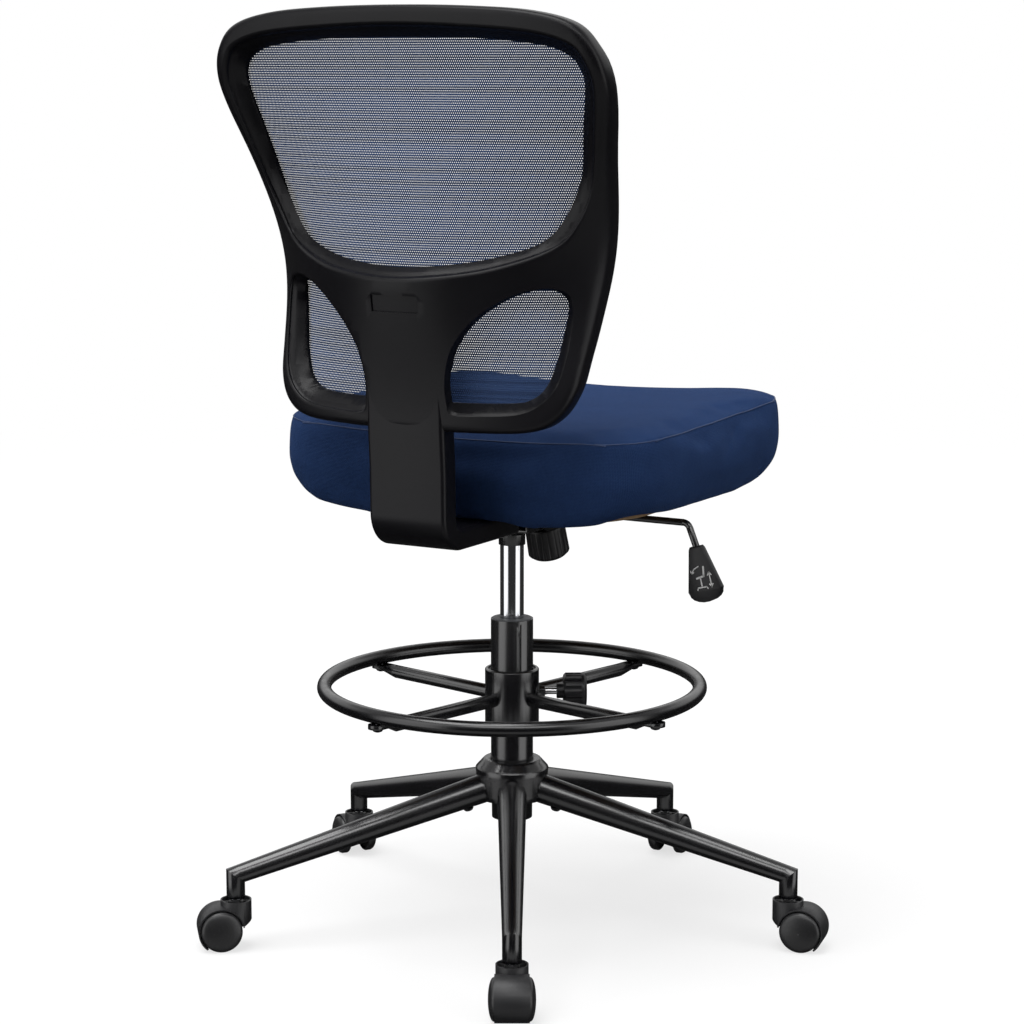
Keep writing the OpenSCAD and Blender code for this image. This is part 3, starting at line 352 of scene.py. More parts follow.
def wovenFinish(name, values):
    # plain weave on the cushion's own UV map, which is in metres along the cloth
    cloth = Finish(name, {"Specular IOR Level": 0.08, "Sheen Weight": values["sheen"],
                          "Sheen Roughness": 0.4, "Sheen Tint": values["sheenTint"]})
    u, v, w = cloth.split(cloth.node("ShaderNodeUVMap", {"uv_map": "cloth"}))
    at = cloth.place()
    stray = cloth.noise(at, values["waverScale"], 2) * (values["waver"] * values["pitch"])
    across = (u + stray) * (math.pi / values["pitch"])
    along = (v + stray) * (math.pi / values["pitch"])
    warp = across.maths("SINE").maths("ABSOLUTE")
    weft = along.maths("SINE").maths("ABSOLUTE")
    over = (across.maths("SINE") * along.maths("SINE")).eased(-0.12, 0.12)
    yarn = warp * over + weft * (1 - over)
    slub = cloth.noise(at, values["slubScale"], 3)
    patches = cloth.noise(at, values["patchScale"], 4, 0.6)
    light = (yarn * 0.62 + slub * 0.38) * 0.9 + patches * 0.35
    cloth.put("Base Color", cloth.blend(light.eased(0.25, 1.05), values["deep"], values["thread"]))
    cloth.put("Roughness", 0.86 - yarn * 0.08)
    fuzz = cloth.noise(at, values["fuzzScale"], 2)
    cloth.put("Normal", cloth.bump(yarn * 0.8 + fuzz * 0.2, values["depth"]))
    return cloth.material


meshSet = {
    "thread": (0.042, 0.080, 0.195),
    "shade": (0.027, 0.053, 0.130),
    # colour of the rows of painted shade
    "paintedRowShade": (0.012, 0.023, 0.056),
    "pitchAcross": 2.4 * mm,
    "pitchUp": 2.6 * mm,
    "holeWide": 0.245,  # half widths, as shares of the pitch
    "holeHigh": 0.205,
    "paintedRowShadeShare": 0.55,  # how much darker a row of painted shade reads
    "fuzzScale": 2500,
    "driftScale": 40,
    "depth": 0.2 * mm,
}


def meshFinish(name, values):
    # knitted net: rows of small oval holes, each row half a pitch along
    net = Finish(name, {"Specular IOR Level": 0.15, "Sheen Weight": 0.04})
    u, v, w = net.split(net.node("ShaderNodeUVMap", {"uv_map": "cloth"}))
    row = v / values["pitchUp"]
    rowOdd = (row * 0.5).maths("FRACT") > 0.5
    col = u / values["pitchAcross"] + 0.5 * rowOdd
    fromU = (col.maths("FRACT") - 0.5) / values["holeWide"]
    fromV = (row.maths("FRACT") - 0.5) / values["holeHigh"]
    away = (fromU * fromU + fromV * fromV).maths("SQRT")
    at = net.place()
    fuzz = net.noise(at, values["fuzzScale"], 2)
    drift = net.noise(at, values["driftScale"], 3)
    net.put("Alpha", (away + (fuzz - 0.5) * 0.3).eased(0.85, 1.1))
    ridge = ((row.maths("FRACT") - 0.5) * (2 * math.pi)).maths("COSINE")
    tone = (ridge * -0.5 + 0.5) * 0.6 + drift * 0.5
    # now and then a row is painted darker, as painted shade; the sine of its number stands in for chance
    chance = ((row.maths("FLOOR") * 12.9898).maths("SINE") * 437.585).maths("FRACT")
    paintedRowShade = (1 - chance.eased(0.25, 0.45)) * values["paintedRowShadeShare"]
    yarn = net.blend(tone.eased(0.1, 0.9), values["shade"], values["thread"])
    net.put("Base Color", net.blend(paintedRowShade, yarn, values["paintedRowShade"]))
    net.put("Roughness", 0.62 + (drift - 0.5) * 0.12)
    net.put("Normal", net.bump(away.eased(0.8, 2.0) * 0.6 + fuzz * 0.4, values["depth"]))
    return net.material


stitchSet = {"deep": (0.010, 0.024, 0.074), "light": (0.022, 0.050, 0.145), "twistScale": 1400,
             "depth": 0.1 * mm}
inkSet = {"fresh": (0.86, 0.86, 0.85), "rubbed": (0.45, 0.45, 0.45), "rubScale": 500, "depth": 0.02 * mm}


def stitchFinish(name, values):
    thread = Finish(name, {"Specular IOR Level": 0.4})
    twist = thread.noise(thread.place(), values["twistScale"], 2)
    thread.put("Base Color", thread.blend(twist, values["deep"], values["light"]))
    thread.put("Roughness", 0.55 + (twist - 0.5) * 0.2)
    thread.put("Normal", thread.bump(twist, values["depth"]))
    return thread.material


def printFinish(name, values):
    ink = Finish(name, {"Specular IOR Level": 0.4})
    rub = ink.noise(ink.place(), values["rubScale"], 4, 0.7)
    ink.put("Base Color", ink.blend(rub.eased(0.6, 0.9), values["fresh"], values["rubbed"]))
    ink.put("Roughness", 0.5 + (rub - 0.5) * 0.2)
    ink.put("Normal", ink.bump(rub, values["depth"]))
    return ink.material


blackPaint = paintFinish("blackPaint", paintSet)
wornPaint = wornPaintFinish("wornPaint", ringPaintSet)
frameShell = mouldedFinish("frameShell", frameSet)
knobPlastic = mouldedFinish("knobPlastic", knobSet)
hoodPlastic = mouldedFinish("hoodPlastic", hoodSet)
wheelNylon = wheelFinish("wheelNylon", wheelSet)
greyNylon = mouldedFinish("greyNylon", greyNylonSet)
chrome = chromeFinish("chrome", chromeSet)
brightSteel = steelFinish("brightSteel", (0.62, 0.63, 0.65), 0.22)
darkSteel = steelFinish("darkSteel", (0.055, 0.056, 0.06), 0.34)
springSteel = steelFinish("springSteel", (0.20, 0.20, 0.21), 0.36)
seatPly = plyFinish("seatPly", plySet)
navyCloth = wovenFinish("navyCloth", fabricSet)
backNet = meshFinish("backNet", meshSet)
navyThread = stitchFinish("navyThread", stitchSet)
whiteInk = printFinish("whiteInk", inkSet)
print("finishes made:", len(bpy.data.materials))


# modelling helpers

def clearSelection():
    if bpy.context.mode != "OBJECT":
        bpy.ops.object.mode_set(mode="OBJECT")
    bpy.ops.object.select_all(action="DESELECT")


def pick(piece):
    clearSelection()
    piece.select_set(True)
    bpy.context.view_layer.objects.active = piece


def added(name):
    piece = bpy.context.active_object
    piece.name = name
    piece.data.name = name
    return piece


def change(piece, kind, **values):
    # adds a modifier and applies it
    pick(piece)
    modifier = piece.modifiers.new(kind.lower(), kind)
    for name, value in values.items():
        setattr(modifier, name, value)
    bpy.ops.object.modifier_apply(modifier=modifier.name)


def editing(piece):
    pick(piece)
    bpy.ops.object.mode_set(mode="EDIT")
    bpy.ops.mesh.select_all(action="DESELECT")


def selectPoints(piece, test):
    # selects the points that pass the test, and stays in edit mode
    editing(piece)
    bpy.ops.mesh.select_mode(type="VERT")
    work = bmesh.from_edit_mesh(piece.data)
    for point in work.verts:
        point.select_set(test(point))
    work.select_flush_mode()
    bmesh.update_edit_mesh(piece.data)


def merge(piece, distance=0.002 * mm):
    editing(piece)
    bpy.ops.mesh.select_all(action="SELECT")
    bpy.ops.mesh.remove_doubles(threshold=distance)
    bpy.ops.object.mode_set(mode="OBJECT")


def outwards(piece):
    editing(piece)
    bpy.ops.mesh.select_all(action="SELECT")
    bpy.ops.mesh.normals_make_consistent(inside=False)
    bpy.ops.object.mode_set(mode="OBJECT")


def smoothed(piece, degrees):
    pick(piece)
    bpy.ops.object.shade_smooth_by_angle(angle=math.radians(degrees))


def spot(point):
    return tuple(round(c, 6) for c in point)


def wrapGrid(name, rings, caps=True):
    # a grid bent so that each of its rows is one ring, welded into a tube whose ends are capped
    around = len(rings[0])
    clearSelection()
    bpy.ops.mesh.primitive_grid_add(x_subdivisions=around, y_subdivisions=len(rings) - 1, size=1)
    piece = added(name)
    for k, vertex in enumerate(piece.data.vertices):
        vertex.co = rings[k // (around + 1)][k % (around + 1) % around]
    merge(piece)
    for ring in (rings[0], rings[-1]) if caps else ():
        spots = {spot(p) for p in ring}
        selectPoints(piece, lambda point: spot(point.co) in spots)
        bpy.ops.mesh.edge_face_add()
        bpy.ops.object.mode_set(mode="OBJECT")
    outwards(piece)
    return piece


def copyOf(node, name):
    # a merged copy of a CAD node, to be shaped further
    clearSelection()
    source = nodes[node]
    piece = bpy.data.objects.new(name, source.data.copy())
    bpy.context.scene.collection.objects.link(piece)
    piece.data.materials.clear()
    merge(piece)
    return piece


def joinInto(piece, *others):
    clearSelection()
    for other in others:
        other.select_set(True)
    piece.select_set(True)
    bpy.context.view_layer.objects.active = piece
    bpy.ops.object.join()
    return piece


def finished(piece, body, material, replaced=()):
    piece.data.materials.clear()
    piece.data.materials.append(material)
    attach(piece, body)
    if replaced:
        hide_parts(*replaced)
    return piece


# finishes on the CAD nodes

bevelSet = {
    # width of the softened edges in mm, by the start of a node's name; longest match wins
    "": 0.35, "base_leg": 1.1, "base_hub": 0.9, "column_tube": 0.5, "ring_hub": 0.4, "ring_spoke": 0.7,
    "tilt_housing": 0.7, "seat_plate": 0.5, "tension_knob": 0.5, "clamp_knob": 0.7, "caster": 0.5,
    "piston_rod": 0.2, "rod_clip": 0.15, "tilt_spring": 0, "thrust_bearing": 0, "valve_pin": 0.2,
    "ring_tube": 0,
}

dressSet = {
    "base_hub": blackPaint, "base_leg": blackPaint, "leg_bolts": darkSteel, "column_tube": blackPaint,
    "guide_bush": greyNylon, "thrust_bearing": brightSteel, "piston_rod": brightSteel,
    "rod_clip": darkSteel, "gas_cylinder": chrome, "valve_pin": brightSteel,
    "hood": hoodPlastic, "pins": brightSteel, "wheel_a": wheelNylon, "wheel_b": wheelNylon,
    "ring_tube": wornPaint, "ring_spoke": blackPaint, "ring_bolts": darkSteel, "ring_hub": blackPaint,
    "ring_bush": greyNylon, "clamp_stud": brightSteel, "clamp_knob": knobPlastic,
    "tilt_housing": blackPaint, "tilt_pin": brightSteel, "tilt_spring": springSteel,
    "tension_bolt": brightSteel, "tension_knob": knobPlastic, "lever_collar": greyNylon,
    "lever_rod": blackPaint, "lever_paddle": knobPlastic, "seat_plate": blackPaint,
    "seat_bolts": darkSteel, "seat_board": seatPly, "seat_cushion": navyCloth,
    "back_frame": frameShell, "back_bolts": darkSteel, "mesh_panel": backNet, "mesh_rim": knobPlastic,
}


def longest(table, name):
    return table[max((key for key in table if name.startswith(key)), key=len)]


def dressNode(name, node):
    # a caster's pieces go by their own names, such as hood
    plainName = name.split("_", 2)[2] if name.startswith("caster_") else name
    node.data.materials.clear()
    node.data.materials.append(longest(dressSet, plainName))
    for face in node.data.polygons:
        face.use_smooth = True
    weld = node.modifiers.new("joined", "WELD")
    weld.merge_threshold = 0.004 * mm
    width = longest(bevelSet, name)
    if width:
        edge = node.modifiers.new("softEdge", "BEVEL")
        edge.width = width * mm
        edge.segments = 2
        edge.limit_method = "ANGLE"
        edge.angle_limit = math.radians(32)
        edge.harden_normals = True
        edge.use_clamp_overlap = True


for name, node in nodes.items():
    dressNode(name, node)
print("CAD nodes dressed")


# the mark on the lever's paddle

printSet = {
    "bend": Vector((-219 * mm, -22 * mm, 498 * mm)),  # where the lever's rod turns down
    "drop": 30 * mm,  # from the bend to the paddle
    "dropLean": 22,
    "faceLean": 15,
    "faceOut": 4.5 * mm,
    "thick": 0.25 * mm,
    "sunk": 0.1,  # of the thickness, under the face
    "overlap": 0.4,  # of two strokes that meet, as a share of their width
}

# strokes as x, z, x, z and width in mm on the paddle's face: a seat that goes up, down and back
strokes = [
    (-5, -22, -3, -33, 2.0), (-3.4, -33, 6.5, -34.5, 2.2), (1.6, -34, 1.6, -44, 1.6),
    (-4, -45.5, 7, -45.5, 1.4), (-4, -45.5, -5.2, -48, 1.2), (7, -45.5, 8.2, -48, 1.2),
    (-10.5, -30, -10.5, -46, 1.3), (-12.9, -33, -10.3, -29.2, 1.3), (-8.1, -33, -10.7, -29.2, 1.3),
    (-12.9, -43, -10.3, -46.8, 1.3), (-8.1, -43, -10.7, -46.8, 1.3), (1, -21, 7.5, -23.5, 1.3),
    (7.5, -23.5, 11.5, -28.5, 1.3), (11.5, -28.5, 11.9, -24.6, 1.2), (11.5, -28.5, 8.2, -27, 1.2),
]


def makePrint():
    values = printSet
    lean, dropLean = math.radians(values["faceLean"]), math.radians(values["dropLean"])
    origin = values["bend"] - Vector((math.sin(dropLean), 0, math.cos(dropLean))) * values["drop"]
    origin.y += values["faceOut"] + values["thick"] * (0.5 - values["sunk"])
    face = Matrix.Translation(origin) @ Matrix.Rotation(lean, 4, "Y")
    bars = []
    for x0, z0, x1, z1, wide in strokes:
        clearSelection()
        bpy.ops.mesh.primitive_cube_add(size=1)
        bar = added("paddlePrint")
        start, end = Vector((x0, 0, z0)) * mm, Vector((x1, 0, z1)) * mm
        along = end - start
        turn = Matrix.Rotation(-math.atan2(along.z, along.x), 4, "Y")
        length = along.length + values["overlap"] * wide * mm
        size = Matrix.Diagonal((length, values["thick"], wide * mm, 1))
        bar.data.transform(face @ Matrix.Translation((start + end) / 2) @ turn @ size)
        bars.append(bar)
    mark = joinInto(bars[0], *bars[1:])
    mark.name = "paddlePrint"
    finished(mark, bodyOf["lever_paddle"], whiteInk)


makePrint()


# the moulded back

backSet = {
    "width": 492 * mm,
    "bottom": 620 * mm,
    "height": 457 * mm,
    "thick": 26 * mm,
    "rear": 235 * mm,  # rear face at the spine, behind the column
    "lean": 30 * mm,
    "wrap": 71 * mm,
    "waist": 0.387,  # share of the height where the sides come furthest forward
    "flareTop": 83 * mm,
    "flareFoot": 42 * mm,
    "webBack": 7 * mm,
    "netGap": 0.9 * mm,
    "grid": 11 * mm,  # size of the faces on the curved skin
    "pocketOut": 2 * mm,  # the recess for the net, past the windows' edges
    "lipRound": (6.0 * mm, 3.6 * mm, 3.6 * mm),  # of the upper window and the lower two
    "lipAngle": 12,  # where the rounded lip leaves the face, in degrees
    "edgeRound": 0.6 * mm,
    "panelDeep": 1.8 * mm,
    "spineWidth": 98 * mm,
    "spineThick": 28 * mm,
    "spineRoot": 75 * mm,  # above the lower edge
    "spineCorner": 5 * mm,
    "spineSoft": 1.2 * mm,
    "footThick": 24 * mm,
    "bendRadius": 40 * mm,
    "footFront": 68 * mm,
    "plateTop": 508 * mm,
}

# outlines as shares of the half width and of the height, from the top centre down; a lip lies on the
# rear face and its edge, further in, is what the net is seen through
outerShares = [
    (0, 1), (0.36, 0.9965), (0.66, 0.985), (0.860, 0.957), (0.955, 0.905), (0.996, 0.838),
    (0.985, 0.760), (0.930, 0.635), (0.869, 0.460), (0.824, 0.317), (0.793, 0.186), (0.768, 0.100),
    (0.700, 0.038), (0.575, 0.007), (0.3, 0), (0, 0),
]
lipUpperShares = [
    (0, 0.951), (0.400, 0.944), (0.690, 0.930), (0.848, 0.905), (0.905, 0.872), (0.932, 0.825),
    (0.925, 0.780), (0.902, 0.722), (0.865, 0.635), (0.829, 0.569), (0.769, 0.503), (0.690, 0.450),
    (0.530, 0.410), (0.313, 0.382), (0, 0.368),
]
edgeUpperShares = [
    (0, 0.922), (0.390, 0.918), (0.662, 0.905), (0.778, 0.889), (0.837, 0.865), (0.860, 0.828),
    (0.848, 0.780), (0.823, 0.722), (0.788, 0.635), (0.739, 0.569), (0.672, 0.503), (0.605, 0.462),
    (0.505, 0.436), (0.290, 0.410), (0, 0.398),
]
lipLowerShares = [
    (0.753, 0.290), (0.750, 0.236), (0.741, 0.179), (0.715, 0.116), (0.655, 0.073), (0.560, 0.046),
    (0.402, 0.037), (0.235, 0.038), (0.206, 0.075), (0.206, 0.131), (0.241, 0.199), (0.317, 0.258),
    (0.418, 0.306), (0.534, 0.341), (0.650, 0.354), (0.730, 0.338),
]
edgeLowerShares = [
    (0.682, 0.289), (0.670, 0.241), (0.650, 0.175), (0.617, 0.118), (0.565, 0.088), (0.480, 0.076),
    (0.353, 0.072), (0.225, 0.071), (0.203, 0.092), (0.209, 0.142), (0.265, 0.214), (0.353, 0.271),
    (0.454, 0.311), (0.538, 0.332), (0.615, 0.338), (0.666, 0.322),
]
pocketShares = edgeUpperShares[:8] + [
    (0.795, 0.640), (0.769, 0.560), (0.746, 0.500), (0.723, 0.430), (0.704, 0.372),
] + edgeLowerShares[:6] + [(0.24, 0.072), (0, 0.072)]
panelShares = [(-0.12, 0.285), (0.12, 0.285), (0.12, 0.325), (-0.12, 0.325)]
# the spine's rise out of the plate: down from its root and out, in mm
spineRise = [(0, -2.6), (10, -0.8), (22, -0.2), (40, 0.15), (55, 0.6), (75, 1.0)]


def ease(t):
    u = min(1.0, max(0.0, t))
    return u * u * (3 - 2 * u)


def spineY(z):
    return backSet["rear"] + backSet["lean"] * ease((z - backSet["bottom"] + 30 * mm) / (260 * mm))


def sideY(z):
    values = backSet
    share = (z - values["bottom"]) / values["height"]
    above = values["flareTop"] * ease((share - values["waist"]) / 0.565)
    below = values["flareFoot"] * ease((values["waist"] - share) / values["waist"])
    return values["rear"] - values["wrap"] + above + below


def wrapWidth(z):
    return backSet["width"] / 2 * (0.726 + 0.284 * (z - backSet["bottom"]) / backSet["height"])


def rearY(x, z):
    middle = spineY(z)
    return middle - (middle - sideY(z)) * (x / wrapWidth(z)) ** 2


def onBack(shares):
    return [(a * backSet["width"] / 2, backSet["bottom"] + b * backSet["height"]) for a, b in shares]


def bothSides(half):
    return half + [(-x, z) for x, z in half[-2:0:-1]]


def curveThrough(points, each):
    # closed smooth curve through the points
    n = len(points)
    out = []
    for i in range(n):
        a, b, c, d = (Vector(points[(i + k) % n]) for k in (-1, 0, 1, 2))
        for k in range(each):
            t = k / each
            out.append(0.5 * (2 * b + (c - a) * t + (2 * a - 5 * b + 4 * c - d) * t * t
                              + (3 * b - a - 3 * c + d) * t ** 3))
    return out


def inset(outline, by):
    n = len(outline)
    out = []
    for i in range(n):
        along = (outline[(i + 1) % n] - outline[i - 1]).normalized()
        out.append(outline[i] + by * Vector((along.y, -along.x)))
    return out


def flat(outline, depth):
    return [(p.x, -depth, p.y) for p in outline]


def between(first, second, t):
    return [a.lerp(b, t) for a, b in zip(first, second)]


def shear(piece):
    # lays a flat model on the curved back: its depth is measured from the rear face
    for vertex in piece.data.vertices:
        vertex.co.y += rearY(vertex.co.x, vertex.co.z)
    piece.data.update()


def gridCut(piece, step):
    # bisects the flat model into a grid, so that it can follow the curve
    half, bottom = backSet["width"] / 2, backSet["bottom"]
    lo, hi = (-half, 0, bottom), (half, 0, bottom + backSet["height"])
    work = bmesh.new()
    work.from_mesh(piece.data)
    for axis, normal in ((0, (1, 0, 0)), (2, (0, 0, 1))):
        count = int((hi[axis] - lo[axis]) / step)
        for k in range(1, count + 1):
            point = [0.0, 0.0, 0.0]
            point[axis] = lo[axis] + (hi[axis] - lo[axis]) * k / (count + 1) + 0.013 * mm
            everything = work.verts[:] + work.edges[:] + work.faces[:]
            bmesh.ops.bisect_plane(work, geom=everything, plane_co=point, plane_no=normal, dist=1e-7)
    work.to_mesh(piece.data)
    work.free()


def cutWith(piece, tool, operation="DIFFERENCE"):
    change(piece, "BOOLEAN", operation=operation, object=tool, solver="EXACT")
    bpy.data.objects.remove(tool)


def makeBackShell():
    values = backSet
    thick = values["thick"]
    outer = curveThrough(bothSides(onBack(outerShares)), 8)
    # the rim's rounded section, by how far it stands in from the outline and its depth
    shell = wrapGrid("backShell", [flat(inset(outer, a * mm), b) for a, b in (
        (8, 0), (5.4, 0.35 * mm), (3, 1.3 * mm), (1.4, 2.9 * mm), (0.5, 5 * mm), (0, 9 * mm),
        (0.1, thick - 6 * mm), (0.5, thick - 3 * mm), (1.2, thick - 1.2 * mm), (2.5, thick))])
    upper = [curveThrough(bothSides(onBack(shares)), 8) for shares in (lipUpperShares, edgeUpperShares)]
    lip, edge = (curveThrough(onBack(shares), 8) for shares in (lipLowerShares, edgeLowerShares))
    windows = [upper, (lip, edge)]
    windows.append(([Vector((-p.x, p.y)) for p in lip], [Vector((-p.x, p.y)) for p in edge]))
    for (lip, edge), bend in zip(windows, values["lipRound"]):
        lipRings = [flat(inset(lip, -1.2 * bend), -9 * mm), flat(inset(lip, -1.02 * bend), -0.12 * mm)]
        for k in range(6):
            a = math.radians(values["lipAngle"] + (90 - values["lipAngle"]) * k / 5)
            lipRings.append(flat(inset(lip, -bend * (1 - math.sin(a))), bend * (1 - math.cos(a))))
        cutWith(shell, wrapGrid("windowTool", lipRings + [
            flat(between(lip, edge, 0.12), bend + 2 * mm), flat(between(lip, edge, 0.35), bend + 5 * mm),
            flat(edge, thick - 2 * mm), flat(edge, thick + 9 * mm)]))
    pocket = inset(curveThrough(bothSides(onBack(pocketShares)), 6), -values["pocketOut"])
    cutWith(shell, wrapGrid("pocketTool", [flat(pocket, thick - values["webBack"]),
                                           flat(pocket, thick + 9 * mm)]))
    panel = [Vector(p) for p in onBack(panelShares)]
    cutWith(shell, wrapGrid("panelTool", [flat(panel, -9 * mm), flat(panel, values["panelDeep"])]))
    change(shell, "BEVEL", width=values["edgeRound"], segments=2, limit_method="ANGLE",
           angle_limit=math.radians(30), use_clamp_overlap=True)
    merge(shell, 0.01 * mm)
    gridCut(shell, values["grid"])
    shear(shell)
    return shell


def roundedBar(width, thick, radius, steps):
    out = []
    for q, (sx, sy) in enumerate(((1, 1), (-1, 1), (-1, -1), (1, -1))):
        for k in range(steps + 1):
            a = math.radians(q * 90 + k * 90 / steps)
            out.append((sx * (width / 2 - radius) + radius * math.cos(a),
                        sy * (thick / 2 - radius) + radius * math.sin(a)))
    return out


def makeSpine():
    values = backSet
    root = values["bottom"] + values["spineRoot"]
    footZ = values["plateTop"] - values["footThick"]
    bend = values["bendRadius"]
    y0 = values["rear"] - 2.5 * mm
    # out of the plate, straight down, round the bend and forward along the foot
    path = [(spineY(root - down * mm) + out * mm, root - down * mm) for down, out in spineRise]
    path.append((y0 + 0.6 * mm, (values["bottom"] + footZ + bend) / 2))
    turns = [math.radians(a) for a in range(0, -91, -6)]
    path += [(y0 - bend + bend * math.cos(a), footZ + bend + bend * math.sin(a)) for a in turns]
    path += [(y0 - bend - 25 * mm, footZ), (y0 - bend - 50 * mm, footZ), (values["footFront"], footZ)]
    rings = []
    for i, (y, z) in enumerate(path):
        after, before = path[min(i + 1, len(path) - 1)], path[max(i - 1, 0)]
        along = Vector((after[0] - before[0], after[1] - before[1])).normalized()
        side = Vector((-along.y, along.x))
        thick = values["spineThick"] + (values["footThick"] - values["spineThick"]) * ease((i - 7) / 14)
        thick = min(thick, values["thick"] - 6 * mm + 1.6 * i * mm)
        ring = []
        # its rear face takes on the plate's curve from the plate's lower edge up
        follow = ease((z - values["bottom"] + 25 * mm) / (50 * mm))
        for px, pt in roundedBar(values["spineWidth"], thick, values["spineCorner"], 6):
            at = Vector((y, z)) + side * (pt - thick / 2)
            ring.append((px, at.x + follow * (rearY(px, z) - spineY(z)), at.y))
        rings.append(ring)
    spine = wrapGrid("backSpine", rings)
    change(spine, "BEVEL", width=values["spineSoft"], segments=3, limit_method="ANGLE",
           angle_limit=math.radians(50))
    return spine


backShell = joinInto(makeBackShell(), makeSpine())
smoothed(backShell, 38)
finished(backShell, "seat_unit", frameShell, ["back_frame"])
print("back shell:", len(backShell.data.polygons), "faces")


# the net

netSet = {
    "inside": 5 * mm,  # of the frame's outline
    "behind": 0.5 * mm,  # the groove's floor
    "grid": 8 * mm,
}


def flatPlate(name, outline, depth):
    # a filled flat outline, made from a circle of the same number of corners
    clearSelection()
    bpy.ops.mesh.primitive_circle_add(vertices=len(outline), radius=1, fill_type="NGON")
    piece = added(name)
    for vertex, at in zip(piece.data.vertices, flat(outline, depth)):
        vertex.co = at
    return piece


def arcAlong(x, z):
    # length along the curved back from its middle to x
    k = 2 * (spineY(z) - sideY(z)) / wrapWidth(z) ** 2
    slope = abs(k * x)
    if slope < 1e-6:
        return x
    length = (slope * math.sqrt(1 + slope ** 2) + math.asinh(slope)) / (2 * abs(k))
    return math.copysign(length, x)


def makeNet():
    values = backSet
    outline = inset(curveThrough(bothSides(onBack(outerShares)), 6), netSet["inside"])
    net = flatPlate("backMesh", outline, values["thick"] + values["netGap"] + netSet["behind"])
    gridCut(net, netSet["grid"])
    shear(net)
    layer = net.data.uv_layers.new(name="cloth")
    for loop in net.data.loops:
        at = net.data.vertices[loop.vertex_index].co
        layer.data[loop.index].uv = (arcAlong(at.x, at.z), at.z)
    area = sum(face.area for face in net.data.polygons)
    print("net area", round(area, 4))
    smoothed(net, 60)
    finished(net, "seat_unit", backNet, ["mesh_panel"])
    widest = max(net.data.vertices, key=lambda v: v.co.x).co
    return net, area, 2 * arcAlong(widest.x, widest.z)


backMesh, netArea, netWidth = makeNet()


# the cushion

seatSet = {
    "width": 494 * mm,
    "front": 278 * mm,
    "rear": 152 * mm,
    "seamHeight": 100 * mm,
    "seamRise": 15 * mm,
    "voxel": 6 * mm,
    "tacked": 22 * mm,  # height up to which the cover is held
    "sideways": 1.0 * mm,  # the boxing swells, the top settles
    "settled": 3.5 * mm,
    "rearTuck": 3 * mm,
    "rearSag": 5 * mm,
    "cornerLift": 5 * mm,
    "frontTuck": 7 * mm,
    "dish": 9 * mm,  # of the top's middle
    "hornRise": 5 * mm,  # of the top at its sides
    "gather": 0.7 * mm,
    "cornerRear": 70 * mm,
    "cornerFront": 92 * mm,
    "seamIn": 4 * mm,
    "pipe": 0.9 * mm,
    "uvTurn": 0.72,  # a face that looks up more than this takes the top's cloth
}

clothSet = {
    "quality": 4,
    "mass": 0.3,
    "stiff": 30,
    "bending": 4,
    "pressure": 1.6,
    "frames": 20,
    "mostMove": 4 * mm,
}


def seamZ(y):
    # the seam rises from the rear edge to the front
    values = seatSet
    forward = (values["rear"] - y) / (values["front"] + values["rear"])
    return backSet["plateTop"] + values["seamHeight"] + values["seamRise"] * forward


def puffed(pad, held):
    # cloth pressure swells the pad; how far any point may move is capped
    before = [vertex.co.copy() for vertex in pad.data.vertices]
    group = pad.vertex_groups.new(name="held")
    for vertex in pad.data.vertices:
        group.add([vertex.index], 1.0 if held(vertex.co) else 0.0, "REPLACE")
    pick(pad)
    cloth = pad.modifiers.new("cloth", "CLOTH")
    cloth.settings.quality = clothSet["quality"]
    cloth.settings.mass = clothSet["mass"]
    cloth.settings.tension_stiffness = clothSet["stiff"]
    cloth.settings.compression_stiffness = clothSet["stiff"]
    cloth.settings.bending_stiffness = clothSet["bending"]
    cloth.settings.use_pressure = True
    cloth.settings.uniform_pressure_force = clothSet["pressure"]
    cloth.settings.vertex_group_mass = "held"
    cloth.settings.effector_weights.gravity = 0
    cloth.collision_settings.use_collision = False
    cloth.point_cache.frame_start = 1
    cloth.point_cache.frame_end = clothSet["frames"]
    for k in range(1, clothSet["frames"] + 1):
        bpy.context.scene.frame_set(k)
    bpy.ops.object.modifier_apply(modifier=cloth.name)
    bpy.context.scene.frame_set(1)
    for vertex, start in zip(pad.data.vertices, before):
        moved = vertex.co - start
        if moved.length > clothSet["mostMove"]:
            vertex.co = start + moved.normalized() * clothSet["mostMove"]


def moveAll(piece, step):
    # moves every point by step(place, normal), with all the normals taken before the first move
    normals = [vertex.normal.copy() for vertex in piece.data.vertices]
    for vertex, normal in zip(piece.data.vertices, normals):
        vertex.co += step(vertex.co, normal)
    piece.data.update()


def tackPull(co, normal):
    # the tacked lower edge gathers the cloth a little
    fold = math.sin(150 * (co.x + co.y)) * ease((backSet["plateTop"] + 40 * mm - co.z) / (30 * mm))
    return Vector((normal.x, normal.y, 0)) * (-seatSet["gather"] * fold)


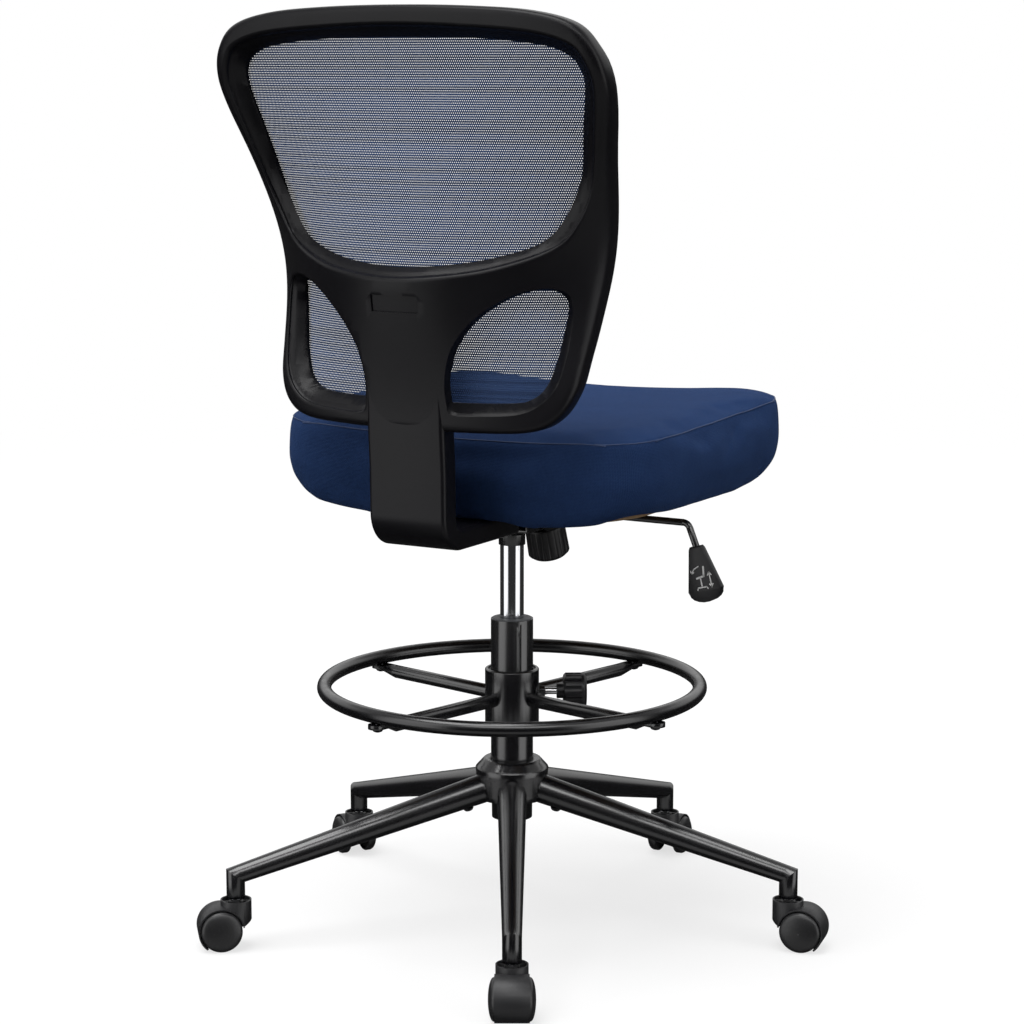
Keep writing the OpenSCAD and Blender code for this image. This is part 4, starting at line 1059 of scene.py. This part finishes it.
def makeSeam(pad):
    # a fine piped seam laid on the swollen cushion, where the boxing meets the top
    values = seatSet
    half = values["width"] / 2 - values["seamIn"]
    path = []
    for side, end in ((1, 1), (-1, 1), (-1, -1), (1, -1)):
        reach = values["rear" if end > 0 else "front"] - values["seamIn"]
        corner = values["cornerRear" if end > 0 else "cornerFront"]
        for k in range(9):
            a = math.radians(90 * k / 8)
            turn = a if side == end else math.pi / 2 - a
            path.append(Vector((side * (half - corner + corner * math.cos(turn)),
                                end * (reach - corner + corner * math.sin(turn)))))
    places = []
    for at in curveThrough(path, 9):
        place, normal = pad.closest_point_on_mesh(Vector((at.x, at.y, seamZ(at.y))))[1:3]
        places.append((place, normal))
    rings = []
    for k, (place, normal) in enumerate(places):
        along = (places[(k + 1) % len(places)][0] - places[k - 1][0]).normalized()
        side = along.cross(normal).normalized()
        rings.append([place + (normal * math.cos(b) + side * math.sin(b)) * values["pipe"] for b in
                      (2 * math.pi * j / 8 for j in range(8))])
    rings.append(rings[0])
    return wrapGrid("seatSeam", rings, caps=False)


def settle(co, normal):
    # softer rear corners, a rear edge that sags either side of the spine, a front edge that is tucked up
    # and a top that is dished between its sides
    values = seatSet
    share, rear = abs(co.x) / (values["width"] / 2), co.y / values["rear"]
    above = co.z - backSet["plateTop"]
    low = ease((62 * mm - above) / (40 * mm))
    high = ease((above - 70 * mm) / (30 * mm)) * (0.75 - 0.45 * co.y / values["front"])
    cornerPart = ease((rear - 0.2) / 0.6) * ease((share - 0.5) / 0.4)
    sagPart = ease((rear - 0.55) / 0.35) * ease((share - 0.25) / 0.15) * (1 - ease((share - 0.72) / 0.2))
    frontPart = ease((-co.y / values["front"] - 0.45) / 0.45) * ease((share - 0.55) / 0.4)
    lift = values["frontTuck"] * frontPart - values["rearSag"] * sagPart + values["cornerLift"] * cornerPart
    dish = (values["dish"] + values["hornRise"]) * share ** 2 - values["dish"]
    inwards = Vector((normal.x, normal.y, 0)) * -values["rearTuck"] * cornerPart
    return inwards + Vector((0, 0, low * lift + high * dish))


def swell(co, normal):
    # above the tacked edge the boxing bulges a little and the top sinks
    values = seatSet
    free = ease((co.z - backSet["plateTop"] - values["tacked"]) / (30 * mm))
    sink = -values["settled"] * ease((normal.z - 0.5) / 0.4)
    return free * Vector((normal.x * values["sideways"], normal.y * values["sideways"], sink))


def makeCushion():
    values = seatSet
    pad = copyOf("seat_cushion", "seatCushion")
    change(pad, "REMESH", mode="VOXEL", voxel_size=values["voxel"], use_smooth_shade=True)
    change(pad, "SMOOTH", factor=0.5, iterations=4)
    moveAll(pad, settle)
    moveAll(pad, swell)
    puffed(pad, lambda co: co.z < backSet["plateTop"] + values["tacked"])
    change(pad, "SMOOTH", factor=0.5, iterations=3)
    change(pad, "SUBSURF", levels=1, render_levels=1)
    moveAll(pad, tackPull)
    layer = pad.data.uv_layers.new(name="cloth")
    for face in pad.data.polygons:
        flatTop = abs(face.normal.z) > values["uvTurn"]
        for k in face.loop_indices:
            at = pad.data.vertices[pad.data.loops[k].vertex_index].co
            if flatTop:
                layer.data[k].uv = (at.x, at.y)
            elif abs(face.normal.x) > abs(face.normal.y):
                layer.data[k].uv = (at.y, at.z)
            else:
                layer.data[k].uv = (at.x, at.z)
    smoothed(pad, 180)
    return pad


seatCushion = makeCushion()
finished(seatCushion, "seat_unit", navyCloth, ["seat_cushion"])
seatSeam = makeSeam(seatCushion)
smoothed(seatSeam, 180)
finished(seatSeam, "seat_unit", navyThread)
print("cushion:", len(seatCushion.data.polygons), "faces")


# floor, world and lamps

studioSet = {
    "floorRadius": 60.0,
    "floorNear": 6.0,
    "floorPale": (0.93, 0.93, 0.935),
    "floorBounce": (0.13, 0.13, 0.135),
    "shadowFaint": 0.7,  # how far the shadow is washed out even under the chair
    "farFrom": 1.4,  # where the floor starts to fade into the white behind it
    "farTo": 4.5,
    "skyLow": 0.035,  # what the chair sees round it, at the horizon and overhead
    "skyHigh": 0.55,
    "sunPower": 2.2,
    "sunSpread": 42,
    "sunTurn": (-12, 8, 0),
}

# soft panels, in degrees round the chair and above the horizon; the mirrored ones show in reflections alone
panelSet = [
    {"azimuth": 148, "half": 20, "soft": 8, "low": -22, "high": 44, "strength": 1.75, "mirrored": False},
    {"azimuth": 270, "half": 20, "soft": 8, "low": -22, "high": 44, "strength": 1.75, "mirrored": False},
    {"azimuth": 210, "half": 32, "soft": 10, "low": 36, "high": 52, "strength": 4.5, "mirrored": True},
    {"azimuth": 210, "half": 60, "soft": 20, "low": -60, "high": -24, "strength": 0.5, "mirrored": True},
    {"azimuth": 30, "half": 72, "soft": 14, "low": 10, "high": 34, "strength": 0.8, "mirrored": True},
]


def makeFloor():
    clearSelection()
    bpy.ops.mesh.primitive_circle_add(vertices=96, radius=studioSet["floorRadius"], fill_type="NGON")
    floor = added("floor")
    editing(floor)
    bpy.ops.mesh.select_all(action="SELECT")
    bpy.ops.mesh.inset(thickness=studioSet["floorRadius"] - studioSet["floorNear"])
    bpy.ops.object.mode_set(mode="OBJECT")
    pale = Finish("floorPaper", {"Specular IOR Level": 0.1, "Roughness": 0.9})
    path = pale.node("ShaderNodeLightPath", out="Is Camera Ray")
    seen = (path + path.twin("Is Transmission Ray")).maths("MINIMUM", 1)
    at = pale.place()
    grain = pale.noise(at, 35, 3)
    paper = pale.blend(seen, studioSet["floorBounce"], studioSet["floorPale"])
    pale.put("Base Color", pale.blend(grain * 0.02, paper, (0.8, 0.8, 0.8)))
    far = pale.node("ShaderNodeVectorMath", {"operation": "LENGTH"}, {0: at}, out="Value")
    white = pale.node("ShaderNodeEmission", None, {"Color": (1, 1, 1), "Strength": 1.0})
    fade = far.eased(studioSet["farFrom"], studioSet["farTo"], studioSet["shadowFaint"], 1) * seen
    mixed = pale.node("ShaderNodeMixShader", None,
                      {0: fade, 1: Wire(pale, pale.shader.outputs[0]), 2: white})
    # reflections look through the floor, so that the panels run down to the casters
    through = pale.node("ShaderNodeBsdfTransparent")
    mixed = pale.node("ShaderNodeMixShader", None, {0: path.twin("Is Glossy Ray"), 1: mixed, 2: through})
    pale.join(mixed, pale.tree.nodes["Material Output"].inputs["Surface"])
    floor.data.materials.append(pale.material)


class WorldBook(Finish):
    # the same node methods, on the world's own tree
    def __init__(self, tree):
        self.tree = tree


def makeWorld():
    world = bpy.data.worlds.new("studioWorld")
    world.use_nodes = True
    bpy.context.scene.world = world
    tree = world.node_tree
    back = tree.nodes["Background"]
    book = WorldBook(tree)
    seen = book.node("ShaderNodeLightPath", out="Is Camera Ray")
    clear = (seen + seen.twin("Is Transmission Ray")).maths("MINIMUM", 1)
    x, y, up = book.split(book.node("ShaderNodeTexCoord", out="Generated"))
    level = up.eased(-0.1, 0.9, studioSet["skyLow"], studioSet["skyHigh"])
    sideways = (x * x + y * y).maths("SQRT")
    for panel in panelSet:
        turn = math.radians(panel["azimuth"])
        near = (x * math.sin(turn) - y * math.cos(turn)) / sideways
        inner, outer = (math.cos(math.radians(panel["half"] + k * panel["soft"])) for k in (-1, 1))
        foot, head = ([math.sin(math.radians(panel[end] + k * 4)) for k in (-1, 1)]
                      for end in ("low", "high"))
        glow = near.eased(outer, inner) * up.eased(*foot) * (1 - up.eased(*head)) * panel["strength"]
        level = level + (glow * seen.twin("Is Glossy Ray") if panel["mirrored"] else glow)
    level = level * (1 - clear) + clear
    back.inputs["Color"].default_value = (1, 1, 1, 1)
    tree.links.new(level.socket, back.inputs["Strength"])
    world.cycles.sampling_method = "NONE"


def makeLamp():
    sun = bpy.data.lights.new("overhead", "SUN")
    sun.energy = studioSet["sunPower"]
    sun.angle = math.radians(studioSet["sunSpread"])
    lamp = bpy.data.objects.new("overhead", sun)
    lamp.rotation_euler = [math.radians(turn) for turn in studioSet["sunTurn"]]
    bpy.context.scene.collection.objects.link(lamp)


makeFloor()
makeWorld()
makeLamp()
print("studio ready")
